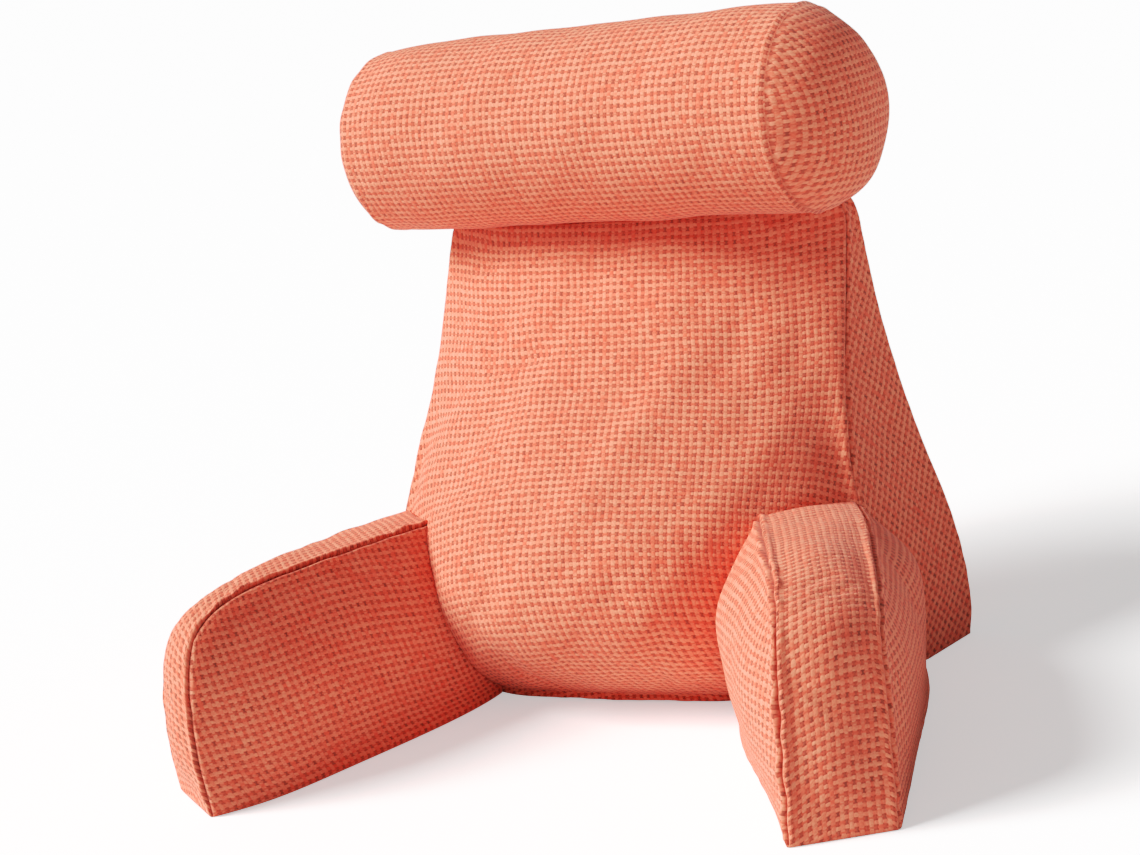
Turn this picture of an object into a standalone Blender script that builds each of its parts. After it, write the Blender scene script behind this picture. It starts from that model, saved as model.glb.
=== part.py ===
"""Backrest pillow: a wedge-shaped back cushion, two arm cushions and a neck roll, all in one coral cloth.

The sitter faces -Y, the back reclines towards +Y and the flat bases stand on z = 0. All sizes are metres.
"""
from collections import namedtuple
from math import cos, pi, radians, sin

import bmesh
import bpy
from mathutils import Matrix, Vector

PART_NAME = "backrest_pillow"
CM = 0.01

# Fit between neighbouring cushions, and the middle of the whole pillow in the tables' own frame.
PIECE_GAP = 0.0006
MIDDLE = Vector((0.94, 5.1, 0.0)) * CM

# Crease of a sewn edge on a filled piece, and of the edge of its flat base.
SEAM_CREASE = 0.75
BASE_CREASE = 1.0

# Back cushion: one row for each level, in centimetres. x is the half width and y the depth.
# centre and rear_centre lie on the middle line, arm is where an arm's inner seam crosses the front panel,
# side and rear are the front and rear seams of the side gusset, and droop lowers the row at its sides.
BackRow = namedtuple("BackRow", "z centre arm_x arm_y side_x side_y rear_x rear_y rear_centre droop")
BACK_ROWS = (
    BackRow(0.0, 5.8, 14.4, 5.8, 27.5, 17.5, 29.8, 25.3, 26.5, 0.0),
    BackRow(2.5, 1.8, 14.2, 2.3, 28.0, 16.5, 30.2, 26.2, 28.5, 0.0),
    BackRow(8.0, -4.8, 14.2, -2.0, 27.4, 14.0, 29.8, 26.6, 29.8, 0.0),
    BackRow(14.0, -6.0, 15.8, -1.0, 26.0, 12.4, 28.6, 26.8, 30.3, 0.0),
    BackRow(19.6, -2.5, 18.6, 3.2, 24.6, 12.0, 26.9, 26.8, 30.3, 0.9),
    BackRow(27.0, 9.8, 17.4, 12.8, 22.8, 17.4, 24.6, 26.8, 30.0, 0.4),
    BackRow(35.0, 16.6, 16.4, 18.6, 22.5, 22.0, 23.0, 27.1, 29.6, 0.4),
    BackRow(42.0, 21.4, 16.0, 22.8, 22.2, 25.4, 22.4, 27.8, 29.4, 0.4),
    BackRow(46.5, 24.6, 15.8, 25.0, 22.2, 26.6, 22.3, 28.4, 29.2, 2.2),
)

# Its columns, from the middle line to the sides, as shares of the widths, depths and droop above.
FRONT_INNER_X = 0.55
FRONT_INNER_Y = 0.3
REAR_X_SHARES = (0.0, 0.4, 0.75, 1.0)
REAR_Y_SHARES = (1.0, 0.9, 0.6, 0.0)
DROOP_SHARES = (0.0, 0.05, 0.3, 1.0)

# Arm cushions: one row for each station from inside the back to the front strip, in centimetres.
# Feet are (x, y) on the base and tops are (x, y, z) on the seams of the top strip, for the right-hand side.
ArmRow = namedtuple("ArmRow", "inner_foot outer_foot inner_top outer_top")
RIGHT_ARM_ROWS = (
    ArmRow((13.0, 11.0), (23.0, 21.0), (15.0, 11.0, 18.0), (21.5, 18.0, 17.0)),
    ArmRow((13.6, 3.1), (27.8, 17.0), (18.1, 3.5, 19.0), (24.8, 12.0, 17.8)),
    ArmRow((17.2, -5.2), (31.0, 8.0), (21.3, -3.3, 19.6), (28.4, 4.8, 18.2)),
    ArmRow((21.9, -12.0), (33.0, -2.4), (24.4, -10.0, 19.8), (31.2, -2.6, 18.2)),
    ArmRow((26.2, -18.8), (35.3, -12.1), (27.4, -16.2, 19.3), (34.4, -10.2, 17.6)),
    ArmRow((28.7, -24.0), (37.0, -19.4), (28.6, -20.6, 17.2), (36.0, -15.4, 15.6)),
)
LEFT_ARM_ROWS = (
    ArmRow((13.0, 11.0), (23.0, 21.0), (15.0, 11.0, 18.0), (21.5, 18.0, 17.0)),
    ArmRow((13.6, 3.1), (27.8, 17.0), (18.1, 3.5, 18.8), (24.8, 12.0, 17.6)),
    ArmRow((16.7, -5.4), (30.6, 8.0), (21.1, -3.3, 18.9), (28.2, 4.8, 17.6)),
    ArmRow((19.9, -12.6), (32.8, -2.0), (24.0, -10.0, 19.0), (30.8, -2.6, 17.6)),
    ArmRow((23.1, -20.5), (34.2, -11.5), (27.0, -17.2, 18.9), (33.2, -10.8, 17.0)),
    ArmRow((27.5, -24.8), (34.8, -19.4), (27.8, -22.6, 16.8), (34.2, -17.6, 15.4)),
)
ARM_LEVELS = 3

# How far the cage of each arm panel stands out beyond its seams: faces at most, strip on its midline.
# The lift above 1 moves the fullest part of the faces up towards the strip.
ARM_INNER_CROWN = 3.8 * CM
ARM_OUTER_CROWN = 2.6 * CM
ARM_STRIP_CROWN = 1.6 * CM
ARM_CROWN_LIFT = 1.5

# Neck roll: its right end turns towards the sitter. One row for each ring, in centimetres.
# x is the place along the axis, radius the ring's own and lift its shift upwards.
RollRow = namedtuple("RollRow", "x radius lift")
ROLL_ROWS = (
    RollRow(-27.6, 3.8, -0.5),
    RollRow(-26.8, 7.4, -0.5),
    RollRow(-25.0, 9.3, -0.4),
    RollRow(-21.8, 9.8, -0.2),
    RollRow(-13.0, 9.9, -0.1),
    RollRow(-4.5, 9.8, -0.2),
    RollRow(4.5, 9.8, -0.2),
    RollRow(13.0, 9.9, -0.1),
    RollRow(21.8, 10.0, 0.0),
    RollRow(25.2, 9.7, 0.0),
    RollRow(28.2, 7.6, 0.0),
    RollRow(29.6, 4.0, 0.0),
)
ROLL_SEAM_ROWS = (2, 9)
ROLL_SIDES = 20
ROLL_CENTRE = Vector((-1.3, 22.5, 54.15)) * CM
ROLL_TURN = radians(7.5)
ROLL_END_CROWN = 0.4 * CM

CLOTH_COLOUR = (0.80, 0.20, 0.11, 1.0)
CLOTH_ROUGHNESS = 0.92


def clear_scene():
    """Remove the objects that the scene starts with."""
    for item in list(bpy.data.objects):
        bpy.data.objects.remove(item, do_unlink=True)


def new_collection(name):
    """Make a collection under the scene's own."""
    collection = bpy.data.collections.new(name)
    bpy.context.scene.collection.children.link(collection)
    return collection


def cloth_material(name):
    """Make a plain matt coral cloth."""
    material = bpy.data.materials.new(name)
    material.use_nodes = True
    shader = material.node_tree.nodes["Principled BSDF"]
    shader.inputs["Base Color"].default_value = CLOTH_COLOUR
    shader.inputs["Roughness"].default_value = CLOTH_ROUGHNESS
    shader.inputs["Metallic"].default_value = 0.0
    return material


def add_object(mesh, name, collection, material):
    """Put a mesh in a collection as a named object in its cloth."""
    item = bpy.data.objects.new(name, mesh)
    collection.objects.link(item)
    if material:
        mesh.materials.append(material)
    return item


def soften(item, levels):
    """Round a cage with a Subdivision Surface."""
    modifier = item.modifiers.new("Rounding", "SUBSURF")
    modifier.levels = levels
    modifier.render_levels = levels


def fatten(item):
    """Grow a cutter by the gap between neighbouring cushions."""
    modifier = item.modifiers.new("Gap", "DISPLACE")
    modifier.strength = PIECE_GAP
    modifier.mid_level = 0.0


def cut(item, cutter):
    """Shape a cushion to the neighbour that presses on it."""
    modifier = item.modifiers.new("Seat", "BOOLEAN")
    modifier.operation = "DIFFERENCE"
    modifier.solver = "EXACT"
    modifier.object = cutter


def as_cutter(source, name, collection):
    """Make a hidden, slightly fatter twin of a cushion."""
    twin = source.copy()
    twin.name = name
    collection.objects.link(twin)
    fatten(twin)
    twin.hide_render = True
    twin.display_type = "WIRE"
    return twin


def grid_block(divisions):
    """Cut a unit cube into the given numbers of divisions along X, Y and Z."""
    mesh = bmesh.new()
    bmesh.ops.create_cube(mesh, size=1.0)
    bmesh.ops.translate(mesh, verts=mesh.verts, vec=(0.5, 0.5, 0.5))
    for axis, count in enumerate(divisions):
        along = [edge for edge in mesh.edges
                 if abs(edge.verts[0].co[axis] - edge.verts[1].co[axis]) > 0.5]
        bmesh.ops.subdivide_edges(mesh, edges=along, cuts=count - 1, use_grid_fill=True)
    return mesh


def cage_from_block(name, divisions, place, crease_of):
    """Move the grid points of a block to their places and crease its sewn edges.

    place and crease_of take whole grid indices (i, j, k), one triple or two.
    """
    block = grid_block(divisions)
    index = {vert: tuple(round(vert.co[axis] * divisions[axis]) for axis in range(3)) for vert in block.verts}
    creases = block.edges.layers.float.new("crease_edge")
    for edge in block.edges:
        edge[creases] = crease_of(index[edge.verts[0]], index[edge.verts[1]])
    for vert, at in index.items():
        vert.co = place(*at)
    bmesh.ops.recalc_face_normals(block, faces=block.faces)
    mesh = bpy.data.meshes.new(name)
    block.to_mesh(mesh)
    block.free()
    mesh.shade_smooth()
    return mesh


def back_point(i, j, k):
    """Place a grid point of the back cushion: i across, j from front to rear, k upwards."""
    row = BACK_ROWS[k]
    side = -1 if i < 3 else 1
    column = abs(i - 3)
    inner_y = row.centre + (row.arm_y - row.centre) * FRONT_INNER_Y
    front_x = (0.0, row.arm_x * FRONT_INNER_X, row.arm_x, row.side_x)[column]
    front_y = (row.centre, inner_y, row.arm_y, row.side_y)[column]
    rear_x = row.rear_x * REAR_X_SHARES[column]
    rear_y = row.rear_y + (row.rear_centre - row.rear_y) * REAR_Y_SHARES[column]
    share = j / 2
    x = front_x + (rear_x - front_x) * share
    y = front_y + (rear_y - front_y) * share
    z = row.z - row.droop * DROOP_SHARES[column]
    return Vector((side * x, y, z)) * CM - MIDDLE


def back_crease(first, second):
    """Crease the gusset seams, the top seam and the edge of the base."""
    (i, j, k), (p, q, r) = first, second
    top = len(BACK_ROWS) - 1
    if k == r == 0 and ((i == p and i in (0, 6)) or (j == q and j in (0, 2))):
        return BASE_CREASE
    on_gusset = i == p and i in (0, 6) and j == q and j in (0, 2)
    on_top = k == r == top and j == q == 2
    return SEAM_CREASE if on_gusset or on_top else 0.0


def make_back(collection, material):
    """Make the wedge-shaped back cushion."""
    divisions = (6, 2, len(BACK_ROWS) - 1)
    mesh = cage_from_block("back_cushion", divisions, back_point, back_crease)
    item = add_object(mesh, "back_cushion", collection, material)
    soften(item, 2)
    return item


def arm_point(rows, side):
    """Give the placing rule of one arm: i from the back to the front, j from inner to outer, k upwards."""
    start, end = Vector(rows[1].inner_foot), Vector(rows[-1].inner_foot)
    forward = (end - start).normalized()
    inward = Vector((forward.y, -forward.x))

    def place(i, j, k):
        row = rows[i]
        across, up = j / 2, k / ARM_LEVELS
        foot = Vector(row.inner_foot).lerp(Vector(row.outer_foot), across).to_3d()
        top = Vector(row.inner_top).lerp(Vector(row.outer_top), across)
        point = foot.lerp(top, up) * CM
        swell = sin(pi * up ** ARM_CROWN_LIFT) if 0 < i < len(rows) - 1 else 0.0
        if j == 0:
            point += inward.to_3d() * ARM_INNER_CROWN * swell
        if j == 2:
            point -= inward.to_3d() * ARM_OUTER_CROWN * swell
        if j == 1 and k == ARM_LEVELS:
            point.z += ARM_STRIP_CROWN
        if j == 1 and i == len(rows) - 1 and k > 0:
            point += forward.to_3d() * ARM_STRIP_CROWN
        point.x *= side
        return point - MIDDLE

    return place


def arm_crease(count):
    """Give the crease rule of one arm: both seams of the strip, and the edge of the base."""
    def crease(first, second):
        (i, j, k), (p, q, r) = first, second
        if k == r == 0 and ((i == p and i in (0, count)) or (j == q and j in (0, 2))):
            return BASE_CREASE
        on_top = k == r == ARM_LEVELS
        on_front = i == p == count
        return SEAM_CREASE if j == q and j in (0, 2) and (on_top or on_front) else 0.0

    return crease


def make_arm(name, rows, side, collection, material):
    """Make one arm cushion from its stations."""
    count = len(rows) - 1
    mesh = cage_from_block(name, (count, 2, ARM_LEVELS), arm_point(rows, side), arm_crease(count))
    item = add_object(mesh, name, collection, material)
    soften(item, 2)
    return item


def ring_points(row):
    """List the points of one ring of the neck roll."""
    centre = Vector((row.x, 0.0, row.lift)) * CM
    turns = [2 * pi * step / ROLL_SIDES for step in range(ROLL_SIDES)]
    return [centre + Vector((0.0, cos(turn), sin(turn))) * row.radius * CM for turn in turns]


def make_roll(collection, material):
    """Make the neck roll as rings bridged along its axis, with crowned ends."""
    body = bmesh.new()
    creases = body.edges.layers.float.new("crease_edge")
    loops = []
    for number, row in enumerate(ROLL_ROWS):
        verts = [body.verts.new(point) for point in ring_points(row)]
        edges = [body.edges.new((verts[step - 1], verts[step])) for step in range(ROLL_SIDES)]
        for edge in edges:
            edge[creases] = SEAM_CREASE if number in ROLL_SEAM_ROWS else 0.0
        loops.append((verts, edges))
    for (_, left), (_, right) in zip(loops, loops[1:]):
        bmesh.ops.bridge_loops(body, edges=left + right)
    for verts, row, step in ((loops[0][0], ROLL_ROWS[0], -1), (loops[-1][0], ROLL_ROWS[-1], 1)):
        centre = sum((vert.co for vert in verts), Vector()) / ROLL_SIDES
        pole = body.verts.new(centre + Vector((step * ROLL_END_CROWN, 0.0, 0.0)))
        for number in range(ROLL_SIDES):
            body.faces.new((verts[number - 1], verts[number], pole))
    bmesh.ops.rotate(body, verts=body.verts, matrix=Matrix.Rotation(-ROLL_TURN, 3, "Z"))
    bmesh.ops.translate(body, verts=body.verts, vec=ROLL_CENTRE - MIDDLE)
    bmesh.ops.recalc_face_normals(body, faces=body.faces)
    mesh = bpy.data.meshes.new("neck_roll")
    body.to_mesh(mesh)
    body.free()
    mesh.shade_smooth()
    item = add_object(mesh, "neck_roll", collection, material)
    soften(item, 1)
    return item


def main():
    """Build the pillow."""
    clear_scene()
    parts = new_collection(PART_NAME)
    cutters = new_collection("cutters")
    back = make_back(parts, cloth_material("back_cloth"))
    roll = make_roll(parts, cloth_material("roll_cloth"))
    back_cutter = as_cutter(back, "back_cutter", cutters)
    roll_cutter = as_cutter(roll, "roll_cutter", cutters)
    cut(back, roll_cutter)
    for name, rows, side in (("arm_left", LEFT_ARM_ROWS, -1), ("arm_right", RIGHT_ARM_ROWS, 1)):
        arm = make_arm(name, rows, side, parts, cloth_material(name + "_cloth"))
        cut(arm, back_cutter)


main()
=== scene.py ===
"""Looks of the backrest pillow: four filled cushions in coral basket-weave cloth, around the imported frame.

The tables are in centimetres, in the pillow's own frame, whose middle lies at MIDDLE.
"""

import logging
import math
from dataclasses import dataclass, field
from enum import Enum
from typing import Callable, NamedTuple, Sequence

import bmesh
import bpy
import numpy as np
from mathutils import Matrix, Vector
from mathutils.bvhtree import BVHTree
from mathutils.kdtree import KDTree


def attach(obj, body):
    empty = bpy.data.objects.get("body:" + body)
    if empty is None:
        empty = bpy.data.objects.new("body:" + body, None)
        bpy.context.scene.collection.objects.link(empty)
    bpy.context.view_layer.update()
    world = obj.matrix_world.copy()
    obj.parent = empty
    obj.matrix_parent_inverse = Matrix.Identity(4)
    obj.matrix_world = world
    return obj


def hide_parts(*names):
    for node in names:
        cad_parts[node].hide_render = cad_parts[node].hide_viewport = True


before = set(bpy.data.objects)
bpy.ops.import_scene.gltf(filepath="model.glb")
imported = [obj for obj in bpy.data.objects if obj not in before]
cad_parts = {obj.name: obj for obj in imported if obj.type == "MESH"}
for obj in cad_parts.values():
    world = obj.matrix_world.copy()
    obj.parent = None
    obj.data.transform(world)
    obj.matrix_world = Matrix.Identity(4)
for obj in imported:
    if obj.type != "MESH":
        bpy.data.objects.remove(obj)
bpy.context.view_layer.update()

LOG = logging.getLogger("backrest_pillow")
CM = 0.01
MM = 0.001
MIDDLE = Vector((0.94, 5.1, 0.0)) * CM
Colour = tuple[float, float, float, float]
Triple = tuple[float, float, float]
Socket = bpy.types.NodeSocket
WHITE = (1.0, 1.0, 1.0, 1.0)
BODY = "root"
GAP = 0.5 * MM
UV_NAME = "weave"
GROOVE_SHADE_NAME = "groove"
SEAM_SPACING = 1.0 * MM
FLOOR_TOUCH = 0.5 * MM
HELD_FROM = 0.02


class Axis(Enum):
    """The three directions of a block."""

    X = 0
    Y = 1
    Z = 2


class Side(NamedTuple):
    """One side of a block: the axis that it faces and whether it is the high side."""

    axis: Axis
    high: bool


FRONT = Side(Axis.Y, False)
REAR = Side(Axis.Y, True)
LOW_X = Side(Axis.X, False)
HIGH_X = Side(Axis.X, True)
BASE = Side(Axis.Z, False)
TOP = Side(Axis.Z, True)


class BackRow(NamedTuple):
    """One level of the back cushion: half widths, depths and the droop at its sides, in centimetres."""

    z: float
    centre: float
    arm_x: float
    arm_y: float
    side_x: float
    side_y: float
    rear_x: float
    rear_y: float
    rear_centre: float
    droop: float


BACK_ROWS = (
    BackRow(0.0, 5.8, 14.4, 5.8, 27.5, 17.5, 29.8, 25.3, 26.5, 0.0),
    BackRow(2.5, 1.8, 14.2, 2.3, 28.0, 16.5, 30.2, 26.2, 28.5, 0.0),
    BackRow(8.0, -4.8, 14.2, -2.0, 27.4, 14.0, 29.8, 26.6, 29.8, 0.0),
    BackRow(14.0, -6.0, 15.8, -1.0, 26.0, 12.4, 28.6, 26.8, 30.3, 0.0),
    BackRow(19.6, -2.5, 18.6, 3.2, 24.6, 12.0, 26.9, 26.8, 30.3, 0.9),
    BackRow(27.0, 9.6, 17.4, 10.8, 22.8, 17.4, 25.0, 26.8, 30.0, 0.4),
    BackRow(35.0, 16.2, 16.6, 16.5, 22.5, 22.0, 23.5, 27.1, 29.6, 0.4),
    BackRow(42.0, 21.1, 16.2, 21.3, 22.2, 25.4, 22.7, 27.8, 29.4, 0.4),
    BackRow(46.5, 24.6, 15.8, 25.0, 22.2, 26.6, 22.3, 28.4, 29.2, 2.2),
)


class ArmRow(NamedTuple):
    """One station of an arm: its feet (x, y) and the seams of its top strip (x, y, z), in centimetres."""

    inner_foot: tuple[float, float]
    outer_foot: tuple[float, float]
    inner_top: Triple
    outer_top: Triple


RIGHT_ARM_ROWS = (
    ArmRow((13.0, 11.0), (23.0, 21.0), (15.0, 11.0, 18.0), (21.5, 18.0, 17.0)),
    ArmRow((13.6, 3.1), (27.8, 17.0), (18.1, 3.5, 19.0), (24.8, 12.0, 17.8)),
    ArmRow((17.2, -5.2), (31.0, 8.0), (21.3, -3.3, 19.6), (28.4, 4.8, 18.2)),
    ArmRow((21.9, -12.0), (33.0, -2.4), (24.4, -10.0, 19.8), (31.2, -2.6, 18.2)),
    ArmRow((26.2, -18.8), (35.3, -12.1), (27.4, -16.2, 19.3), (34.4, -10.2, 17.6)),
    ArmRow((28.7, -24.0), (37.0, -19.4), (28.6, -20.6, 17.2), (36.0, -15.4, 15.6)),
)
LEFT_ARM_ROWS = (
    ArmRow((13.0, 11.0), (23.0, 21.0), (15.0, 11.0, 18.0), (21.5, 18.0, 17.0)),
    ArmRow((13.6, 3.1), (27.8, 17.0), (18.1, 3.5, 18.8), (24.8, 12.0, 17.6)),
    ArmRow((16.7, -5.4), (30.6, 8.0), (21.1, -3.3, 18.9), (28.2, 4.8, 17.6)),
    ArmRow((19.9, -12.6), (32.8, -2.0), (24.0, -10.0, 19.0), (30.8, -2.6, 17.6)),
    ArmRow((23.1, -20.5), (34.2, -11.5), (27.0, -17.2, 18.9), (33.2, -10.8, 17.0)),
    ArmRow((27.5, -24.8), (34.8, -19.4), (27.8, -22.6, 16.8), (34.2, -17.6, 15.4)),
)


class RollRow(NamedTuple):
    """One ring of the neck roll: place along the axis, radius and lift, in centimetres."""

    x: float
    radius: float
    lift: float


ROLL_ROWS = (
    RollRow(-28.1, 3.8, -0.5),
    RollRow(-27.3, 7.4, -0.5),
    RollRow(-25.4, 9.3, -0.4),
    RollRow(-21.8, 9.8, -0.2),
    RollRow(-13.0, 9.9, -0.1),
    RollRow(-4.5, 9.8, -0.2),
    RollRow(4.5, 9.8, -0.2),
    RollRow(13.0, 9.9, -0.1),
    RollRow(20.6, 9.9, -0.2),
    RollRow(24.2, 9.8, -0.4),
    RollRow(27.9, 7.9, -0.8),
    RollRow(29.6, 4.2, -1.0),
)
ROLL_CENTRE = Vector((-1.3, 22.5, 54.15)) * CM
ROLL_TURN = math.radians(7.5)


BROAD = 25.0


class Crease(NamedTuple):
    """A soft trough or ridge laid on a cushion: its two ends in centimetres, width and height in
    millimetres (a trough's height is negative). One wider than BROAD fades out at the seams."""

    start: Triple
    end: Triple
    width: float
    height: float


ROLL_CREASES = (
    Crease((14.0, 14.6, 47.0), (22.0, 12.6, 50.6), 6.0, -2.2),
    Crease((17.0, 13.8, 46.6), (23.6, 12.4, 49.4), 5.0, 1.6),
    Crease((9.0, 15.4, 46.6), (15.0, 13.4, 49.2), 6.0, -1.6),
    Crease((-29.0, 22.0, 49.0), (-23.0, 17.0, 50.0), 8.0, -3.0),
    Crease((-29.0, 21.0, 46.6), (-22.0, 17.6, 46.2), 7.0, 2.2),
    Crease((-27.5, 24.0, 46.0), (-20.0, 20.0, 44.6), 6.0, -2.0),
)
BACK_CREASES = (
    Crease((17.6, 4.2, 21.8), (25.2, 13.4, 21.2), 15.0, -5.0),
    Crease((16.4, 7.8, 25.4), (24.4, 15.2, 24.6), 20.0, 2.5),
    Crease((-18.4, 3.8, 21.0), (-25.0, 12.6, 20.6), 14.0, -4.0),
    Crease((-12.0, 22.2, 43.0), (-4.0, 21.0, 43.4), 6.0, -1.8),
    Crease((2.0, 21.0, 43.2), (11.0, 22.0, 42.6), 6.0, -2.0),
    Crease((12.0, 21.0, 41.2), (20.0, 23.6, 40.4), 7.0, -1.8),
    Crease((-19.6, 23.0, 42.6), (-14.0, 20.8, 39.6), 6.0, -1.6),
)
RIGHT_ARM_CREASES = (
    Crease((18.4, 1.0, 13.0), (23.6, -11.0, 13.0), 48.0, 9.0),
    Crease((28.4, 13.0, 13.5), (32.6, 1.0, 13.0), 48.0, 12.0),
    Crease((28.0, -14.4, 20.8), (32.0, -11.0, 20.2), 5.0, -1.6),
    Crease((28.4, -16.8, 20.6), (33.4, -13.8, 20.0), 4.0, -2.0),
    Crease((28.2, -18.4, 19.8), (35.0, -14.4, 18.6), 4.5, 1.8),
    Crease((28.6, -19.6, 18.9), (33.0, -17.2, 18.8), 3.5, -2.2),
    Crease((29.0, -20.6, 17.8), (35.0, -16.6, 16.8), 4.5, 1.8),
    Crease((28.8, -21.4, 16.6), (32.6, -19.4, 16.4), 3.5, -2.2),
    Crease((29.4, -21.6, 15.2), (35.4, -17.2, 14.8), 4.5, 1.6),
    Crease((28.8, -22.2, 14.0), (32.4, -20.2, 13.6), 3.5, -1.8),
    Crease((30.0, -21.8, 12.4), (34.6, -18.6, 12.8), 5.0, 1.4),
    Crease((31.0, -22.4, 9.6), (35.6, -19.4, 10.4), 5.0, -1.2),
)
LEFT_ARM_CREASES = (
    Crease((-27.4, -18.0, 19.6), (-32.0, -13.0, 19.0), 5.0, -1.5),
    Crease((-27.6, -23.8, 14.0), (-33.0, -19.4, 13.4), 5.0, -1.4),
)


def rows_of(items: bpy.types.bpy_prop_collection, name: str) -> np.ndarray:
    """Read a vector property of all items as rows of three."""
    raw = np.empty(3 * len(items))
    items.foreach_get(name, raw)
    return raw.reshape(-1, 3)


def add_object(name: str, data: bpy.types.ID) -> bpy.types.Object:
    """Make an object in the scene's collection."""
    made = bpy.data.objects.new(name, data)
    bpy.context.scene.collection.objects.link(made)
    return made


def grid_block(divisions: tuple[int, int, int]) -> bmesh.types.BMesh:
    """Cut a unit cube into divisions along its three axes and note each point's place on the grid.

    Args:
        divisions: how many divisions the cube gets along X, Y and Z.

    Returns:
        The block, with a point attribute named grid.
    """
    block = bmesh.new()
    bmesh.ops.create_cube(block, size=1.0)
    bmesh.ops.translate(block, verts=block.verts, vec=(0.5, 0.5, 0.5))
    for axis, count in enumerate(divisions):
        along = [edge for edge in block.edges
                 if abs(edge.verts[0].co[axis] - edge.verts[1].co[axis]) > 0.5]
        bmesh.ops.subdivide_edges(block, edges=along, cuts=count - 1, use_grid_fill=True)
    grid = block.verts.layers.float_vector.new("grid")
    for vert in block.verts:
        vert[grid] = Vector([round(vert.co[axis] * divisions[axis]) for axis in range(3)])
    return block


def placed_block(divisions: tuple[int, int, int], place: Callable[[int, int, int], Vector],
                 crease_of: Callable[[Vector, Vector], float]) -> bmesh.types.BMesh:
    """Move the grid points of a block to their places and crease its sewn edges.

    Args:
        divisions: the block's divisions.
        place: gives the place of a grid point.
        crease_of: gives the crease of the edge between two grid points.

    Returns:
        The cage.
    """
    block = grid_block(divisions)
    grid = block.verts.layers.float_vector["grid"]
    creases = block.edges.layers.float.new("crease_edge")
    for edge in block.edges:
        edge[creases] = crease_of(edge.verts[0][grid], edge.verts[1][grid])
    for vert in block.verts:
        vert.co = place(*(int(value) for value in vert[grid]))
    bmesh.ops.recalc_face_normals(block, faces=block.faces)
    return block


def refined(cage: bmesh.types.BMesh, name: str, levels: int) -> bpy.types.Mesh:
    """Round a cage with a Subdivision Surface and keep the result as a mesh.

    Args:
        cage: the coarse closed cage, which is freed.
        name: the name of the new mesh.
        levels: the number of subdivisions.

    Returns:
        The fine mesh.
    """
    source = bpy.data.meshes.new(name + "_cage")
    cage.to_mesh(source)
    cage.free()
    holder = add_object(name + "_cage", source)
    rounding = holder.modifiers.new("Rounding", "SUBSURF")
    rounding.levels = levels
    rounding.render_levels = levels
    graph = bpy.context.evaluated_depsgraph_get()
    fine = bpy.data.meshes.new_from_object(holder.evaluated_get(graph))
    fine.name = name
    bpy.data.objects.remove(holder, do_unlink=True)
    bpy.data.meshes.remove(source)
    return fine


def true_lengths(points: np.ndarray, row: int, column: int) -> np.ndarray:
    """Measure a panel along its own lines, so that a weave keeps its size on it.

    Args:
        points: the panel's points as rows x columns x 3.
        row: the row from which the first coordinate is measured.
        column: the column from which the second coordinate is measured.

    Returns:
        Rows x columns x 2, the two coordinates in metres.
    """
    down = np.linalg.norm(np.diff(points, axis=0), axis=2)
    across = np.linalg.norm(np.diff(points, axis=1), axis=2)
    first = np.concatenate([np.zeros((1, points.shape[1])), np.cumsum(down, axis=0)])
    second = np.concatenate([np.zeros((points.shape[0], 1)), np.cumsum(across, axis=1)], axis=1)
    first -= first[row:row + 1, :]
    second -= second[:, column:column + 1]
    return np.stack([first, second], axis=2)


@dataclass
class Seam:
    """A sewn line: its points in order, and how it shows.

    Attributes:
        points: the line's points.
        toward: for each point, the way to the panel on the seam's near side.
        groove: depth of the stitched groove, in metres.
        near_welt: height of the rounded edge on the near side, in metres.
        far_welt: height of the rounded edge on the other side, in metres.
        wave: how uneven the rounded edges are, as a share of their height.
        sway: how far the line wanders to its sides, in metres.
        pucker: height of the gathers beside the seam, in metres.
        dark: how much painted shade darkens the groove's colour, from 0 to 1.
    """

    points: np.ndarray
    toward: np.ndarray
    groove: float = 2.0 * MM
    near_welt: float = 1.0 * MM
    far_welt: float = 1.0 * MM
    wave: float = 0.3
    sway: float = 0.4 * MM
    pucker: float = 0.8 * MM
    dark: float = 0.6


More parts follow.
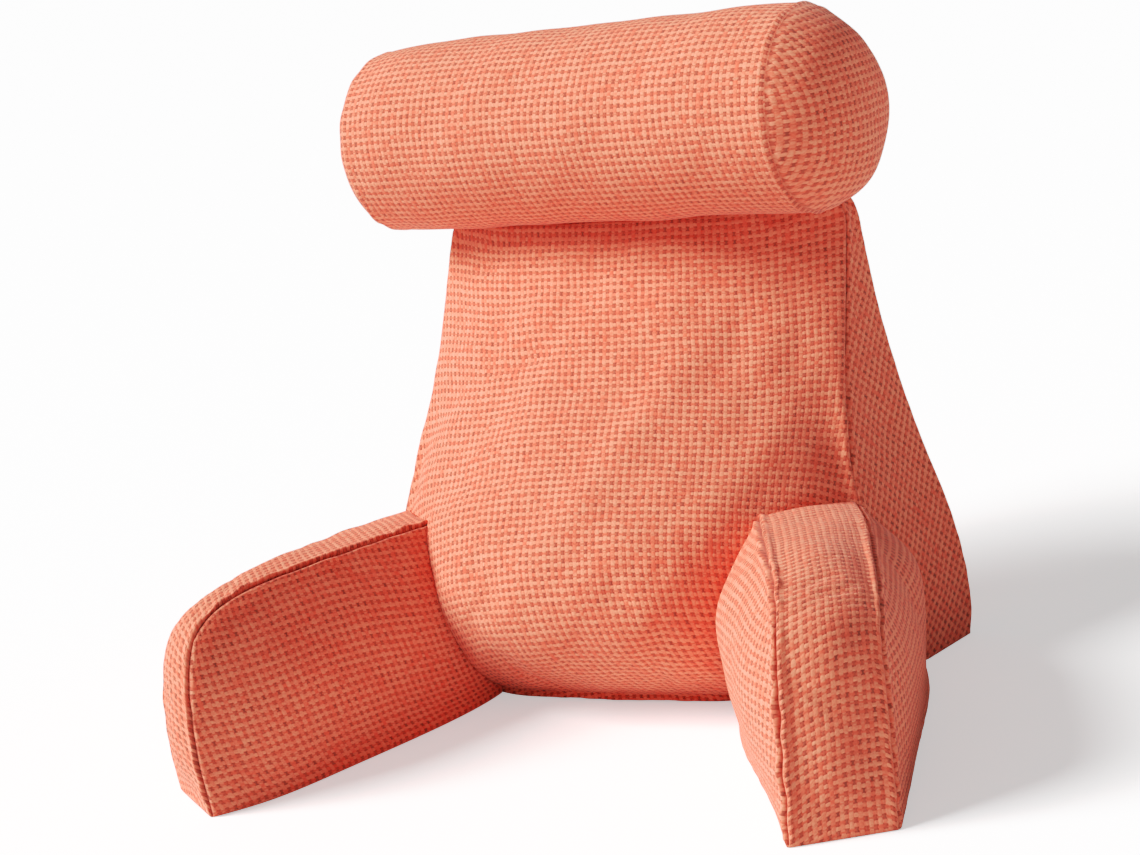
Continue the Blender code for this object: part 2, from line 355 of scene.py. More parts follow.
@dataclass
class Shell:
    """A fine closed cushion mesh whose points keep their place on the block's grid.

    Attributes:
        mesh: the mesh.
        divisions: the cage's divisions along its three axes.
        fineness: how many fine steps a cage division has.
    """

    mesh: bpy.types.Mesh
    divisions: tuple[int, int, int]
    fineness: int
    at: np.ndarray = field(init=False)
    steps: tuple[int, int, int] = field(init=False)
    lookup: dict[tuple[int, int, int], int] = field(init=False)

    def __post_init__(self) -> None:
        """Read each point's grid place and index it."""
        grid = rows_of(self.mesh.attributes["grid"].data, "vector")
        self.at = np.rint(grid * self.fineness).astype(int)
        self.steps = tuple(count * self.fineness for count in self.divisions)
        self.lookup = {tuple(place): number for number, place in enumerate(self.at)}

    @property
    def points(self) -> np.ndarray:
        """All points of the mesh as rows of three."""
        return rows_of(self.mesh.vertices, "co")

    @points.setter
    def points(self, value: np.ndarray) -> None:
        """Write all points of the mesh."""
        self.mesh.vertices.foreach_set("co", value.ravel())
        self.mesh.update()

    def line(self, places: Sequence[tuple[int, int, int]]) -> np.ndarray:
        """Give the point numbers of a run of grid places, from one to the next.

        Args:
            places: grid places on the cage at which the run turns.

        Returns:
            The point numbers in order.
        """
        fine = [np.array(place) * self.fineness for place in places]
        numbers = [self.lookup[tuple(fine[0])]]
        for start, end in zip(fine, fine[1:]):
            count = int(np.abs(end - start).max())
            step = (end - start) // count
            numbers += [self.lookup[tuple(start + step * number)] for number in range(1, count + 1)]
        return np.array(numbers)

    def side_grid(self, side: Side) -> np.ndarray:
        """Give one side's point numbers as a table over its other two axes."""
        first, second = [axis for axis in range(3) if axis != side.axis.value]
        level = self.steps[side.axis.value] if side.high else 0
        table = np.empty((self.steps[first] + 1, self.steps[second] + 1), int)
        place = [0, 0, 0]
        place[side.axis.value] = level
        for row in range(table.shape[0]):
            for column in range(table.shape[1]):
                place[first], place[second] = row, column
                table[row, column] = self.lookup[tuple(place)]
        return table

    def map_cloth(self, maps: dict[Side, np.ndarray]) -> None:
        """Lay the weave on each panel.

        Args:
            maps: for each side of the block, its table of coordinates in metres.
        """
        corners = np.empty(len(self.mesh.loops), int)
        self.mesh.loops.foreach_get("vertex_index", corners)
        quads = self.at[corners.reshape(-1, 4)]
        layer = self.mesh.uv_layers.new(name=UV_NAME)
        flat = np.zeros((len(quads), 4, 2))
        for side, table in maps.items():
            axis = side.axis.value
            first, second = [other for other in range(3) if other != axis]
            level = self.steps[axis] if side.high else 0
            here = (quads[:, :, axis] == level).all(axis=1)
            flat[here] = table[quads[here][:, :, first], quads[here][:, :, second]]
        layer.data.foreach_set("uv", flat.ravel())


@dataclass
class SeamField:
    """Where the points of a cushion lie beside its seams.

    Attributes:
        away: each point's distance from the nearest seam, in metres.
        along: its place along that seam, in metres.
        near: 1 on the seam's near side, -1 on the other.
        toward: the unit way to the near side.
        owner: the seam's number.
    """

    away: np.ndarray
    along: np.ndarray
    near: np.ndarray
    toward: np.ndarray
    owner: np.ndarray

    @classmethod
    def measure(cls, points: np.ndarray, seams: Sequence[Seam]) -> "SeamField":
        """Measure every point against all seams.

        Args:
            points: the points.
            seams: the seams of the cushion.

        Returns:
            The field.
        """
        samples, toward, along, owner = [], [], [], []
        for number, seam in enumerate(seams):
            steps = np.linalg.norm(np.diff(seam.points, axis=0), axis=1)
            length = np.concatenate([[0.0], np.cumsum(steps)])
            places = np.arange(0.0, length[-1], SEAM_SPACING)
            for source, target in ((seam.points, samples), (seam.toward, toward)):
                axes = [np.interp(places, length, source[:, axis]) for axis in range(3)]
                target.append(np.stack(axes, axis=1))
            along.append(places)
            owner.append(np.full(len(places), number))
        samples, toward, along, owner = (np.concatenate(part) for part in (samples, toward, along, owner))
        tree = KDTree(len(samples))
        for number, sample in enumerate(samples):
            tree.insert(sample, number)
        tree.balance()
        found = [tree.find(point) for point in points]
        numbers = np.array([item[1] for item in found])
        way = toward[numbers] / np.linalg.norm(toward[numbers], axis=1)[:, None]
        side = np.einsum("ij,ij->i", points - samples[numbers], way)
        return cls(np.array([item[2] for item in found]), along[numbers], np.sign(side), way, owner[numbers])


def bell(away: np.ndarray, width: float) -> np.ndarray:
    """Give a soft hump that is 1 on a line and fades to its sides over a width."""
    return np.exp(-(away / width) ** 2)


class Ripple(NamedTuple):
    """A row of waves along a seam: its length in metres, its turn over that and its shift by a seed."""

    length: float
    turn: float
    shift: float

    def angle(self, along: np.ndarray, seed: np.ndarray) -> np.ndarray:
        """Give the wave's angle at places along the seam."""
        return along / self.length * self.turn + self.shift * seed


FINE_RIPPLE = Ripple(12 * MM, 2.1, 5.1)
BROAD_RIPPLE = Ripple(31 * MM, 2.0, 2.3)
SWELL_RIPPLE = Ripple(83 * MM, 2.2, 3.7)
RIPPLE_DRIFT = 1.9
RIPPLE_DRIFT_LENGTH = 37 * MM
FINE_SHARE = 0.6
BROAD_SHARE = 0.4


def gathers(along: np.ndarray, seed: np.ndarray) -> np.ndarray:
    """Give an uneven row of gathers along a seam.

    Args:
        along: places along the seam in metres.
        seed: shifts the row, so that no two seams gather alike.

    Returns:
        The height of the gathers at each place, from -1 to 1.
    """
    drift = RIPPLE_DRIFT * np.sin(along / RIPPLE_DRIFT_LENGTH + seed)
    fine = np.sin(FINE_RIPPLE.angle(along, seed) + drift)
    broad = np.sin(BROAD_RIPPLE.angle(along, seed))
    swell = 0.5 + 0.5 * np.sin(SWELL_RIPPLE.angle(along, seed))
    return (FINE_SHARE * fine + BROAD_SHARE * broad) * swell


LUMP_SIZES = (0.31, 0.22, 0.17, 0.13, 0.10)
LUMP_STEP = 2.4
LUMP_START = 0.7
LUMP_DIPS = (1.7, 2.3)


def lumps(points: np.ndarray, height: float) -> np.ndarray:
    """Give the soft unevenness of a stuffed cushion.

    Args:
        points: the cushion's points.
        height: how high the unevenness is, in metres.

    Returns:
        The height at each point, in metres.
    """
    total = np.zeros(len(points))
    for number, size in enumerate(LUMP_SIZES):
        turn = LUMP_STEP * number + LUMP_START
        way = np.array([math.cos(turn), math.sin(turn), math.cos(LUMP_DIPS[0] * turn)])
        side = np.array([-math.sin(turn), math.cos(turn), math.sin(LUMP_DIPS[1] * turn)])
        rows = np.sin(points @ way * 2 * math.pi / size + number)
        columns = np.cos(points @ side * 2 * math.pi / size)
        total += rows * columns
    return total / len(LUMP_SIZES) * height


EDGE_ROUND = 3.2 * MM
EDGE_STEPS = 4
FINE_EDGE = 2.2 * MM


def refine(mesh: bpy.types.Mesh, runs: Sequence[np.ndarray], width: float, rounds: int) -> None:
    """Round the seams' edges and make the cloth beside them finer.

    Args:
        mesh: the cushion's mesh.
        runs: the point numbers of each seam, in order.
        width: how far the finer cloth reaches from a seam, in metres.
        rounds: how many times it is halved.
    """
    work = bmesh.new()
    work.from_mesh(mesh)
    work.verts.ensure_lookup_table()
    steps = [step for run in runs for step in zip(run, run[1:])]
    found = [work.edges.get((work.verts[start], work.verts[end])) for start, end in steps]
    edges = list(dict.fromkeys(edge for edge in found if edge is not None))
    near = KDTree(sum(len(run) for run in runs))
    for number in np.concatenate(runs):
        near.insert(work.verts[number].co, 0)
    near.balance()
    bmesh.ops.bevel(work, geom=edges, offset=EDGE_ROUND, offset_type="OFFSET", segments=EDGE_STEPS,
                    profile=0.5, affect="EDGES", material=-1, clamp_overlap=True)
    for _ in range(rounds):
        close = {vert for vert in work.verts if near.find(vert.co)[2] < width}
        chosen = [edge for edge in work.edges
                  if edge.verts[0] in close and edge.verts[1] in close and edge.calc_length() > FINE_EDGE]
        bmesh.ops.subdivide_edges(work, edges=chosen, cuts=1, use_grid_fill=True, smooth=0.0)
    work.to_mesh(mesh)
    work.free()


@dataclass(frozen=True)
class SeamReach:
    """How far the parts of a seam's relief lie and reach from its line, in metres.

    Attributes:
        trough: the groove's half width.
        edge: how far off the rounded edges lie.
        edge_width: their half width.
        gather_start: where the gathers beside the seam begin.
        gather_reach: how far they reach.
        lump_start: where the cushion's unevenness begins.
        fold_start: where a broad fold begins.
        sway: how far the seam's wandering draws the cloth along.
        shade: the half width of the groove's painted shade.
    """

    trough: float = 1.7 * MM
    edge: float = 4.6 * MM
    edge_width: float = 2.8 * MM
    gather_start: float = 5 * MM
    gather_reach: float = 17 * MM
    lump_start: float = 30 * MM
    fold_start: float = 16 * MM
    sway: float = 9 * MM
    shade: float = 2.1 * MM


REACH = SeamReach()
SWAY_PACE = 1.3
SWAY_SEED = 2.0
SIDE_SEED = 0.37
CREASE_SPAN = 0.9
CREASE_START = 0.05
CREASE_ROUND = 0.7


def sew(mesh: bpy.types.Mesh, seams: Sequence[Seam], creases: Sequence[Crease], lump: float) -> None:
    """Press in the seams' grooves, rounded edges and gathers, the listed folds and the lumps.

    Args:
        mesh: the cushion's mesh.
        seams: its seams.
        creases: its soft folds.
        lump: the height of its unevenness, in metres.
    """
    points = rows_of(mesh.vertices, "co")
    normals = rows_of(mesh.vertex_normals, "vector")
    beside = SeamField.measure(points, seams)
    groove, near_welt, far_welt, wave, sway, pucker, dark = (
        np.array([getattr(seam, name) for seam in seams])[beside.owner]
        for name in ("groove", "near_welt", "far_welt", "wave", "sway", "pucker", "dark"))
    away = beside.away
    rows = gathers(beside.along, beside.owner + SIDE_SEED * beside.near)
    welt = np.where(beside.near > 0, near_welt, far_welt) * (1.0 + wave * rows)
    reach = np.exp(-away / REACH.gather_reach) * (1.0 - bell(away, REACH.gather_start))
    shift = -groove * bell(away, REACH.trough) + welt * bell(away - REACH.edge, REACH.edge_width)
    shift += pucker * reach * rows
    shift += lumps(points, lump) * (1.0 - bell(away, REACH.lump_start))
    calm = 1.0 - bell(away, REACH.fold_start)
    for crease in creases:
        start = np.array(Vector(crease.start) * CM - MIDDLE)
        run = np.array(Vector(crease.end) * CM - MIDDLE) - start
        share = np.clip((points - start) @ run / (run @ run), 0.0, 1.0)
        off = np.linalg.norm(points - start - share[:, None] * run, axis=1)
        fade = np.sin(math.pi * (share * CREASE_SPAN + CREASE_START)) ** CREASE_ROUND
        broad = calm if crease.width > BROAD else 1.0
        shift += crease.height * MM * fade * broad * bell(off, crease.width * MM)
    base = points[:, 2] < FLOOR_TOUCH
    wander = sway * gathers(beside.along * SWAY_PACE, beside.owner + SWAY_SEED) * bell(away, REACH.sway)
    points = points + normals * shift[:, None] + beside.toward * wander[:, None]
    points[base, 2] = 0.0
    points[:, 2] = np.maximum(points[:, 2], 0.0)
    mesh.vertices.foreach_set("co", points.ravel())
    # Painted shade: this attribute darkens the cloth's colour along each seam's line, standing in for the
    # shadow in the stitched groove.
    shade = mesh.attributes.new(GROOVE_SHADE_NAME, "FLOAT", "POINT")
    shade.data.foreach_set("value", dark * bell(away, REACH.shade))
    mesh.update()


@dataclass(frozen=True)
class PuffSettings:
    """How a cushion swells in the cloth simulation.

    Attributes:
        pressure: the filling's pressure.
        shrink: how much the cloth beside the seams draws in, as a share.
        cap: the furthest that a point may move, in metres.
        frames: how many steps the simulation runs.
        quality: the simulation's own steps in each frame.
        mass: the cloth's mass at a point.
        stretch: its stiffness against stretching and squeezing.
        shear: its stiffness against skewing.
        bend: its stiffness against bending.
    """

    pressure: float = 4.0
    shrink: float = 0.06
    cap: float = 7.0 * MM
    frames: int = 18
    quality: int = 5
    mass: float = 0.25
    stretch: float = 18.0
    shear: float = 8.0
    bend: float = 0.6


def puff(shell: Shell, hold: np.ndarray, near_seam: np.ndarray, settings: PuffSettings) -> None:
    """Swell a cushion's cloth with Blender's cloth simulation and keep a capped result.

    Args:
        shell: the cushion.
        hold: for each point, how firmly it stays in place, from 0 to 1.
        near_seam: for each point, how strongly the cloth there is gathered, from 0 to 1.
        settings: the simulation's values.
    """
    start = shell.points
    holder = add_object("puff", shell.mesh.copy())
    for name, shares in (("held", hold), ("drawn", near_seam)):
        group = holder.vertex_groups.new(name=name)
        for number in np.nonzero(shares > HELD_FROM)[0]:
            group.add([int(number)], float(shares[number]), "REPLACE")
    cloth = holder.modifiers.new("Puff", "CLOTH")
    values = cloth.settings
    values.quality = settings.quality
    values.mass = settings.mass
    values.tension_stiffness = settings.stretch
    values.compression_stiffness = settings.stretch
    values.shear_stiffness = settings.shear
    values.bending_stiffness = settings.bend
    values.use_pressure = True
    values.uniform_pressure_force = settings.pressure
    values.vertex_group_mass = "held"
    values.vertex_group_shrink = "drawn"
    values.shrink_min = 0.0
    values.shrink_max = settings.shrink
    values.effector_weights.gravity = 0.0
    cloth.collision_settings.use_collision = False
    cloth.point_cache.frame_start = 1
    cloth.point_cache.frame_end = settings.frames
    scene = bpy.context.scene
    for step in range(1, settings.frames + 1):
        scene.frame_set(step)
    graph = bpy.context.evaluated_depsgraph_get()
    result = bpy.data.meshes.new_from_object(holder.evaluated_get(graph))
    move = rows_of(result.vertices, "co") - start
    size = np.linalg.norm(move, axis=1)
    share = np.minimum(1.0, settings.cap / np.maximum(size, 1e-9))
    shell.points = start + move * share[:, None]
    bpy.data.objects.remove(holder, do_unlink=True)
    bpy.data.meshes.remove(result)
    scene.frame_set(1)
    LOG.info("puffed %s: mean move %.1f mm, most %.1f mm", shell.mesh.name, size.mean() / MM, size.max() / MM)


SEAM_HOLD = 5 * MM
SEAM_DRAW = 14 * MM
BASE_HOLD = 1 * MM


def swell(shell: Shell, seams: Sequence[Seam], extra: float | np.ndarray, settings: PuffSettings) -> None:
    """Swell a cushion that is held at its seams and its base.

    Args:
        shell: the cushion.
        seams: its seams.
        extra: how firmly each point is held besides, from 0 to 1.
        settings: the simulation's values.
    """
    away = SeamField.measure(shell.points, seams).away
    hold = np.maximum(bell(away, SEAM_HOLD), extra)
    hold[shell.points[:, 2] < BASE_HOLD] = 1.0
    puff(shell, hold, np.exp(-away / SEAM_DRAW), settings)


def finish_piece(name: str, node: str, mesh: bpy.types.Mesh, material: bpy.types.Material,
                 fill: float) -> bpy.types.Object:
    """Args:
        name: the piece's name.
        node: the frame's node that it stands for.
        mesh: its mesh.
        material: its cloth.
        fill: how tightly it is filled, from 0 to 1; not used.

    Returns:
        The finished object.
    """
    mesh.shade_smooth()
    mesh.materials.clear()
    mesh.materials.append(material)
    piece = add_object(name, mesh)
    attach(piece, BODY)
    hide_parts(node)
    LOG.info("%s: %d faces", name, len(mesh.polygons))
    return piece


@dataclass
class NeckRoll:
    """The round bolster: a tube panel and two end discs, its axis nearly along X.

    Attributes:
        rows: its rings.
        sides: how many points a ring of the cage has.
        levels: subdivisions of the cage.
        seam_rows: the two rings at which the discs are sewn on.
        seam_crease: how sharp those rings stay.
        end_crown: how far the middle of an end disc stands beyond its last ring, in metres.
        weave_radius: the radius on which the weave is laid around the tube, in metres.
        seam_points: how many points the line of a seam has.
        crown_share: how much a crowned disc lengthens the weave towards its rim.
        lump: the height of its unevenness, in metres.
        fill: how tightly it is filled, from 0 to 1.
    """

    rows: Sequence[RollRow] = ROLL_ROWS
    sides: int = 20
    levels: int = 3
    seam_rows: tuple[int, int] = (2, 9)
    seam_crease: float = 0.75
    end_crown: float = 0.4 * CM
    weave_radius: float = 9.7 * CM
    seam_points: int = 181
    crown_share: float = 0.35
    lump: float = 3.0 * MM
    fill: float = 0.85

    @property
    def placing(self) -> Matrix:
        """The turn and place of the roll's own frame."""
        return Matrix.Translation(ROLL_CENTRE - MIDDLE) @ Matrix.Rotation(-ROLL_TURN, 4, "Z")

    def cage(self) -> bmesh.types.BMesh:
        """Bridge the rings into a closed cage around the roll's own X axis.

        Returns:
            The cage, with a point attribute named ring.
        """
        body = bmesh.new()
        creases = body.edges.layers.float.new("crease_edge")
        loops = []
        turn = Matrix.Rotation(math.pi / 2, 4, "Y")
        for number, row in enumerate(self.rows):
            place = Matrix.Translation((row.x * CM, 0.0, row.lift * CM)) @ turn
            made = bmesh.ops.create_circle(body, segments=self.sides, radius=row.radius * CM, matrix=place)
            ring = list({edge for vert in made["verts"] for edge in vert.link_edges})
            for edge in ring:
                edge[creases] = self.seam_crease if number in self.seam_rows else 0.0
            loops.append(ring)
        for left, right in zip(loops, loops[1:]):
            bmesh.ops.bridge_loops(body, edges=left + right)
        for ring, step in ((loops[0], -1), (loops[-1], 1)):
            verts = list({vert for edge in ring for vert in edge.verts})
            centre = sum((vert.co for vert in verts), Vector()) / len(verts)
            fan = bmesh.ops.contextual_create(body, geom=ring)["faces"]
            pole = bmesh.ops.poke(body, faces=fan)["verts"][0]
            pole.co = centre + Vector((step * self.end_crown, 0.0, 0.0))
        bmesh.ops.recalc_face_normals(body, faces=body.faces)
        return body

    def map_cloth(self, mesh: bpy.types.Mesh, points: np.ndarray) -> None:
        """Lay the weave along and around the tube, and flat on the discs.

        Args:
            mesh: the roll's fine mesh.
            points: its points in the roll's own frame.
        """
        left, right = (self.rows[number].x * CM for number in self.seam_rows)
        layer = mesh.uv_layers.new(name=UV_NAME)
        edge = 1.5 * MM
        for face in mesh.polygons:
            corners = points[list(face.vertices)]
            middle = corners.mean(axis=0)
            if left - edge < middle[0] < right + edge:
                angles = np.arctan2(corners[:, 1], -corners[:, 2])
                if angles.max() - angles.min() > math.pi:
                    angles = np.where(angles < 0, angles + 2 * math.pi, angles)
                flat = np.stack([corners[:, 0], angles * self.weave_radius], axis=1)
            else:
                flat = self.disc_place(corners)
            for loop, place in zip(face.loop_indices, flat):
                layer.data[loop].uv = place

    def disc_place(self, corners: np.ndarray) -> np.ndarray:
        """Lay points of an end disc out flat, with their true distance from its pole.

        Args:
            corners: points on a disc, in the roll's own frame.

        Returns:
            Their flat places in metres.
        """
        row = self.rows[0] if corners[0, 0] < 0 else self.rows[-1]
        seam = self.rows[self.seam_rows[0] if corners[0, 0] < 0 else self.seam_rows[1]]
        spread = corners[:, 1:3] - np.array([0.0, row.lift * CM])
        radius = np.maximum(np.linalg.norm(spread, axis=1), 1e-6)
        crown = abs(row.x - seam.x) * CM
        rim = seam.radius * CM
        longer = 1.0 + self.crown_share * (crown / rim) ** 2 * (radius / rim) ** 2
        return spread * longer[:, None]

    def seam(self, row: RollRow, points: np.ndarray) -> Seam:
        """Find the seam around one ring.

        Args:
            row: the ring.
            points: the roll's points in its own frame.

        Returns:
            The seam, placed.
        """
        beside = 6 * MM
        turns = np.linspace(0.0, 2 * math.pi, self.seam_points)
        near = points[np.abs(points[:, 0] - row.x * CM) < beside]
        radius = np.hypot(near[:, 1], near[:, 2] - row.lift * CM).mean()
        level = np.full(self.seam_points, row.x * CM)
        ring = np.stack([level, radius * np.sin(turns), row.lift * CM - radius * np.cos(turns)], axis=1)
        placed = np.array([self.placing @ Vector(point) for point in ring])
        inwards = np.array(self.placing.to_3x3() @ Vector((-math.copysign(1.0, row.x), 0.0, 0.0)))
        return Seam(placed, np.tile(inwards, (self.seam_points, 1)), groove=2.0 * MM, near_welt=1.1 * MM,
                    far_welt=0.3 * MM, wave=0.6, pucker=1.8 * MM, dark=0.55)

    def build(self, material: bpy.types.Material) -> bpy.types.Object:
        """Build the roll and dress it."""
        mesh = refined(self.cage(), "neck_roll_cloth", self.levels)
        points = rows_of(mesh.vertices, "co")
        self.map_cloth(mesh, points)
        mesh.transform(self.placing)
        seams = [self.seam(self.rows[number], points) for number in self.seam_rows]
        sew(mesh, seams, ROLL_CREASES, self.lump)
        return finish_piece("neck_roll_cloth", "neck_roll", mesh, material, self.fill)


@dataclass
class BackCushion:
    """The wedge-shaped back: front panel, two side gussets, rear panel and base.

    Attributes:
        rows: its levels.
        levels: subdivisions of the cage.
        roll_radius: the roll's radius where it presses on the top edge, in metres.
        roll_half: half the length over which it presses, in metres.
        reach_from: the height from which the cloth reaches up to the roll, in metres.
        reach_rise: the height over which that grows to its full share, in metres.
        reach_gap: how wide a gap it closes, in metres.
        skew: how far the weave leans across for each step up.
        droop: how much the weave's level rows hang towards the sides.
        tilt: how far they fall from left to right.
        bias: the turn of the weave on the side gussets.
        front_x, front_y: the shares of the front panel's second column.
        rear_x, rear_y, sag: the shares of the rear panel's columns and of the droop.
        seam_crease: how sharp the seams stay.
        base_crease: how sharp the base's edge stays.
        divisions: the cage's divisions.
        level_row: the level from which the weave's height is measured.
        fine_reach: how far the finer cloth reaches from a seam, in metres.
        lump: the height of its unevenness, in metres.
        fill: how tightly it is filled, from 0 to 1.
        shell: the fine mesh.
    """

    rows: Sequence[BackRow] = BACK_ROWS
    levels: int = 4
    roll_radius: float = 9.75 * CM
    skew: float = 0.15
    droop: float = 0.8
    tilt: float = 0.05
    roll_half: float = 25 * CM
    reach_from: float = 42.0 * CM
    reach_rise: float = 2.5 * CM
    reach_gap: float = 15 * MM
    bias: tuple[tuple[float, float], ...] = ((0.72, -0.69), (0.69, 0.72))
    front_x: float = 0.55
    front_y: float = 0.3
    rear_x: tuple[float, ...] = (0.0, 0.4, 0.75, 1.0)
    rear_y: tuple[float, ...] = (1.0, 0.9, 0.6, 0.0)
    sag: tuple[float, ...] = (0.0, 0.05, 0.3, 1.0)
    seam_crease: float = 0.75
    base_crease: float = 1.0
    divisions: tuple[int, int, int] = (6, 2, len(BACK_ROWS) - 1)
    level_row: int = 4
    fine_reach: float = 14 * MM
    lump: float = 5.0 * MM
    fill: float = 0.8
    shell: Shell = field(init=False, default=None)

    def point(self, i: int, j: int, k: int) -> Vector:
        """Place a grid point: i across, j from front to rear, k upwards."""
        row = self.rows[k]
        middle = self.divisions[0] // 2
        side = -1 if i < middle else 1
        column = abs(i - middle)
        second_y = row.centre + (row.arm_y - row.centre) * self.front_y
        front_x = (0.0, row.arm_x * self.front_x, row.arm_x, row.side_x)[column]
        front_y = (row.centre, second_y, row.arm_y, row.side_y)[column]
        rear_x = row.rear_x * self.rear_x[column]
        rear_y = row.rear_y + (row.rear_centre - row.rear_y) * self.rear_y[column]
        share = j / self.divisions[1]
        x = front_x + (rear_x - front_x) * share
        y = front_y + (rear_y - front_y) * share
        z = row.z - row.droop * self.sag[column]
        return Vector((side * x, y, z)) * CM - MIDDLE

    def crease(self, first: Vector, second: Vector) -> float:
        """Crease the gusset seams, the top seam and the edge of the base."""
        (i, j, k), (p, q, r) = first, second
        wide, deep, top = self.divisions
        on_side = i == p and i in (0, wide)
        on_face = j == q and j in (0, deep)
        if k == r == 0 and (on_side or on_face):
            return self.base_crease
        on_top = k == r == top and j == q == deep
        return self.seam_crease if (on_side and on_face) or on_top else 0.0

    def seat_roll(self) -> None:
        """Press the roll's seat into the top edge, and let the cloth beside it reach up to the roll."""
        points = self.shell.points
        centre = np.array(ROLL_CENTRE - MIDDLE)
        axis = np.array([math.cos(ROLL_TURN), -math.sin(ROLL_TURN), 0.0])
        away = points - centre
        along = away @ axis
        radial = away - along[:, None] * axis
        distance = np.linalg.norm(radial, axis=1)
        limit = self.roll_radius + GAP
        under = np.abs(along) < self.roll_half
        gap = distance - limit
        height = np.clip((points[:, 2] - self.reach_from) / self.reach_rise, 0.0, 1.0)
        rise = np.where(gap > 0.0, height * bell(gap, self.reach_gap), 1.0)
        points[under] -= (radial / distance[:, None] * (gap * rise)[:, None])[under]
        self.shell.points = points

    def map_cloth(self) -> None:
        """Lay the weave on the panels: straight on front and rear, on the bias on the gussets."""
        points = self.shell.points
        maps = {}
        middle = self.shell.steps[0] // 2
        level = self.level_row * self.shell.fineness
        for side in (FRONT, REAR):
            maps[side] = true_lengths(points[self.shell.side_grid(side)], middle, level)
            maps[side][:, :, 0] += self.skew * maps[side][:, :, 1]
            maps[side][:, :, 1] += self.droop * maps[side][:, :, 0] ** 2 - self.tilt * maps[side][:, :, 0]
        maps[TOP] = true_lengths(points[self.shell.side_grid(TOP)], middle, 0)
        maps[TOP][:, :, 1] += maps[FRONT][:, -1, 1][:, None]
        maps[BASE] = points[self.shell.side_grid(BASE)][:, :, :2]
        for side in (LOW_X, HIGH_X):
            maps[side] = points[self.shell.side_grid(side)][:, :, 1:3] @ np.array(self.bias)
        self.shell.map_cloth(maps)

    def runs(self) -> list[np.ndarray]:
        """Give the point numbers of the seams: gusset fronts, gusset rears, top and base."""
        wide, deep, top = self.divisions
        line = self.shell.line
        uprights = [line([(i, j, 0), (i, j, top)]) for j in (0, deep) for i in (0, wide)]
        return uprights + [
            line([(0, deep, top), (wide, deep, top)]),
            line([(0, 0, 0), (wide, 0, 0), (wide, deep, 0), (0, deep, 0), (0, 0, 0)]),
        ]

    def seams(self, runs: Sequence[np.ndarray]) -> list[Seam]:
        """Give the seams that lie on the runs, as the points stand now."""
        points = self.shell.points
        left_front, right_front, left_rear, right_rear, top, base = (points[run] for run in runs)
        up = np.tile([0.0, 0.0, 1.0], (len(base), 1))
        across = np.tile([0.0, 1.0, 0.0], (len(top), 1))
        soft = dict(groove=1.6 * MM, near_welt=0.7 * MM, far_welt=0.8 * MM, pucker=0.7 * MM, dark=0.45)
        return [
            Seam(left_front, left_rear - left_front, **soft),
            Seam(right_front, right_rear - right_front, **soft),
            Seam(left_rear, left_front - left_rear, **soft),
            Seam(right_rear, right_front - right_rear, **soft),
            Seam(top, across, **soft),
            Seam(base, up, groove=0.4 * MM, near_welt=0.6 * MM, far_welt=0.0, pucker=0.8 * MM, dark=0.25),
        ]

    def build(self, material: bpy.types.Material) -> bpy.types.Object:
        """Build the back cushion and dress it."""
        cage = placed_block(self.divisions, self.point, self.crease)
        mesh = refined(cage, "back_cushion_cloth", self.levels)
        self.shell = Shell(mesh, self.divisions, 2 ** self.levels)
        self.seat_roll()
        self.map_cloth()
        runs = self.runs()
        swell(self.shell, self.seams(runs), 0.0, PuffSettings())
        self.seat_roll()
        seams = self.seams(runs)
        refine(mesh, runs, self.fine_reach, 1)
        sew(mesh, seams, BACK_CREASES, self.lump)
        return finish_piece("back_cushion_cloth", "back_cushion", mesh, material, self.fill)


RAY_STEP = 1e-4


def last_exit(faces: BVHTree, start: Vector, direction: Vector, reach: float) -> Vector | None:
    """Follow a ray to the last face that it crosses.

    Args:
        faces: the faces.
        start: the ray's start.
        direction: its unit direction.
        reach: how far it goes, in metres.

    Returns:
        The last crossing, or None.
    """
    found = None
    place = start
    left = reach
    while left > 0.0:
        hit, _, _, distance = faces.ray_cast(place, direction, left)
        if hit is None:
            return found
        found = hit
        place = hit + direction * RAY_STEP
        left -= distance + RAY_STEP
    return found


